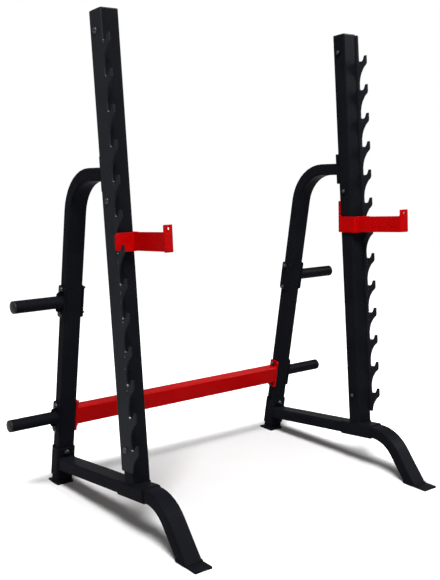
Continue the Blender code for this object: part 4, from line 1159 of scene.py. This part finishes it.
def make_spotter(side):
    upright = upright_of(side)
    on_seat = laid(upright.hung(-STRIP_REACH, SPOTTER_SEAT, SPOTTER_TIP), ALONG)
    arm = upright.hung(-STRIP_REACH, SPOTTER_SEAT - ARM_DROP, ARM_DIP)
    body = f"spotter_{side}"
    bracket = shell(on_seat(bracket_rings(plate_edge())))
    side_piece(side, "spotter_bracket", [bracket], "red_coat", body=body)
    arm_plate = shell(laid(arm, ALONG)(arm_rings(plate_edge())))
    thing = side_piece(side, "spotter_arm", [arm_plate], "red_coat", body=body)
    hole = (ARM_INNER + TAB_WIDTH / 2, TAB_FRONT + ARM_WALL / 2, TAB_HEIGHT - TAB_HOLE_INSET)
    bore(thing, laid(arm, BACKWARDS, hole), TAB_HOLE_RADIUS, ARM_WALL)
    heights = np.linspace(ARM_WELD_INSET, ARM_HEIGHT - ARM_WELD_INSET, 30)
    for name, out, way in (("inner", ARM_INSET, -1), ("outer", ARM_INSET + ARM_WALL, 1)):
        line = np.stack(np.broadcast_arrays(out - HALF_TUBE, -STRIP_WALL / 2, heights), -1)
        weld(
            f"{side}_arm_{name}_weld", [on_seat(line)], ARM_WELD, "red_coat", body,
            closed=False, outwards=(SIDES[side] * way, -1, 0),
        )


# Operators

def both_sides(*makers):
    """Run each maker for the left side and then for the right."""
    for side in SIDES:
        for make in makers:
            make(side)
    return {"FINISHED"}


class RACK_OT_uprights(Operator):
    """Build the two leaning uprights with their caps"""
    bl_idname = "rack.uprights"
    bl_label = "Uprights"

    def execute(self, context):
        return both_sides(make_upright, make_upright_cap)


class RACK_OT_hook_plates(Operator):
    """Build the toothed hook plates, worn where a bar rests, with a painted glint there"""
    bl_idname = "rack.hook_plates"
    bl_label = "Hook plates"

    def execute(self, context):
        return both_sides(make_hook_plate)


class RACK_OT_bases(Operator):
    """Build the bent base rails with their sleeves and feet"""
    bl_idname = "rack.bases"
    bl_label = "Bases"

    def execute(self, context):
        return both_sides(make_base_rail, make_base_sleeve, make_feet)


class RACK_OT_supports(Operator):
    """Build the rear supports with their sockets and flanges"""
    bl_idname = "rack.supports"
    bl_label = "Rear supports"

    def execute(self, context):
        return both_sides(make_rear_support, make_support_flange, make_rear_socket)


class RACK_OT_pegs(Operator):
    """Build the storage pegs with their plates, lugs and caps"""
    bl_idname = "rack.pegs"
    bl_label = "Storage pegs"

    def execute(self, context):
        return both_sides(make_pegs, make_inner_plates)


class RACK_OT_cross_member(Operator):
    """Build the red tube between the side frames"""
    bl_idname = "rack.cross_member"
    bl_label = "Cross member"

    def execute(self, context):
        make_cross_member()
        return {"FINISHED"}


class RACK_OT_fasteners(Operator):
    """Build every bolt with its washer and nut"""
    bl_idname = "rack.fasteners"
    bl_label = "Bolts and nuts"

    def execute(self, context):
        return both_sides(make_hook_plate_bolts, make_socket_bolt, make_peg_bolts)


class RACK_OT_spotters(Operator):
    """Build the red spotters that hang in the hook plates"""
    bl_idname = "rack.spotters"
    bl_label = "Spotters"

    def execute(self, context):
        return both_sides(make_spotter)


# Stage

def make_floor():
    """A wide pale floor. The camera sees light added to its own shade, little between the feet and much
    outside them, so that the lit floor is white and the shadows under the rack stay."""
    tree = Tree(bpy.data.materials.new("studio_floor"))
    mottle = tree.noise(6.0, 3.0)
    base = tree.mix(mottle.above(0.3, 0.7), *(shade(WHITE, share) for share in FLOOR_SHADES))
    diffuse = tree.node("ShaderNodeBsdfDiffuse", {}, {"Color": base})
    past = tree.vector("SUBTRACT", tree.vector("ABSOLUTE", tree.place()), FEET_REACH)
    away = tree.vector("LENGTH", tree.vector("MAXIMUM", past, (0, 0, 0)), out="Value")
    share = tree.rays() * (away.above(0, GLOW_RAMP) * (1 - GLOW_BETWEEN) + GLOW_BETWEEN)
    colour = tree.mix(share, shade(WHITE, 0), shade(WHITE, 1))
    glow = tree.node("ShaderNodeEmission", {}, {"Color": colour})
    both = tree.node("ShaderNodeAddShader", {}, {0: diffuse, 1: glow})
    flat = rounded_rectangle(FLOOR_SIZE, FLOOR_SIZE, FLOOR_CORNER)
    rings = np.array([level(flat, height) for height in (0, -FLOOR_WALL)])
    floor = new_object("studio_floor", mesh_of("studio_floor", [shell(rings)]))
    floor.data.materials.append(tree.finish(both))


def make_world(ambient):
    """White to the camera and in reflections, and an even grey light on everything else."""
    world = bpy.data.worlds.new("studio_world")
    bpy.context.scene.world = world
    tree = Tree(world, "World")
    strength = tree.rays().above(0, 1) * (1 - ambient) + ambient
    values = {"Color": shade(WHITE, 1), "Strength": strength}
    tree.finish(tree.node("ShaderNodeBackground", {}, values))


def add_lamp(name, place, target, size, power):
    """A square soft lamp that looks at a point."""
    light = bpy.data.lights.new(name, "AREA")
    light.shape, light.size, light.energy = "SQUARE", size, power
    lamp = new_object(name, light)
    lamp.location = place
    lamp.rotation_euler = (Vector(target) - Vector(place)).to_track_quat("-Z", "Y").to_euler()
    return lamp


def add_camera(focal_length):
    """The camera at the photograph's angle: it looks right and a little down from the left front."""
    data = bpy.data.cameras.new("camera")
    data.lens, data.sensor_width, data.shift_y = focal_length, SENSOR_WIDTH, CAMERA_SHIFT
    camera = new_object("camera", data)
    camera.matrix_world = (
        Matrix.Translation(CAMERA_PLACE) @ Matrix.Rotation(-CAMERA_AZIMUTH, 4, "Z")
        @ Matrix.Rotation(math.pi / 2 - CAMERA_PITCH, 4, "X") @ Matrix.Rotation(CAMERA_ROLL, 4, "Z")
    )
    bpy.context.scene.camera = camera


class RACK_OT_stage(Operator):
    """Lay the pale floor and set the lamps and the camera"""
    bl_idname = "rack.stage"
    bl_label = "Stage"

    def execute(self, context):
        stage = context.scene.rack_stage
        context.scene.view_settings.view_transform = "Standard"
        make_floor()
        make_world(stage.ambient)
        for name, place, target, size in LAMPS:
            lamp = add_lamp(f"{name}_lamp", place, target, size, getattr(stage, f"{name}_power"))
            lamp.visible_diffuse = name != "sheen"
        add_camera(stage.focal_length)
        return {"FINISHED"}


class RACK_PT_panel(Panel):
    """The rack's groups of pieces, its finish and its stage"""
    bl_idname = "RACK_PT_panel"
    bl_label = "Squat Rack"
    bl_space_type = "VIEW_3D"
    bl_region_type = "UI"
    bl_category = "Squat Rack"

    def draw(self, context):
        layout = self.layout
        for group in (context.scene.rack_finish, context.scene.rack_detail, context.scene.rack_stage):
            box = layout.box()
            for name in group.__annotations__:
                box.prop(group, name)
        for operator in PIECE_OPERATORS:
            layout.operator(operator.bl_idname)


PIECE_OPERATORS = (
    RACK_OT_uprights, RACK_OT_hook_plates, RACK_OT_bases, RACK_OT_supports, RACK_OT_pegs,
    RACK_OT_cross_member, RACK_OT_fasteners, RACK_OT_spotters, RACK_OT_stage,
)
GROUPS = {"rack_finish": RackFinish, "rack_detail": RackDetail, "rack_stage": RackStage}


def register():
    for kind in (*GROUPS.values(), *PIECE_OPERATORS, RACK_PT_panel):
        bpy.utils.register_class(kind)
    for name, kind in GROUPS.items():
        setattr(bpy.types.Scene, name, PointerProperty(type=kind))


def unregister():
    for name in GROUPS:
        delattr(bpy.types.Scene, name)
    for kind in (RACK_PT_panel, *reversed(PIECE_OPERATORS), *GROUPS.values()):
        bpy.utils.unregister_class(kind)


def main():
    register()
    bpy.ops.rack.uprights()
    bpy.ops.rack.hook_plates()
    bpy.ops.rack.bases()
    bpy.ops.rack.supports()
    bpy.ops.rack.pegs()
    bpy.ops.rack.cross_member()
    bpy.ops.rack.fasteners()
    bpy.ops.rack.spotters()
    bpy.ops.rack.stage()


if __name__ == "__main__":
    main()
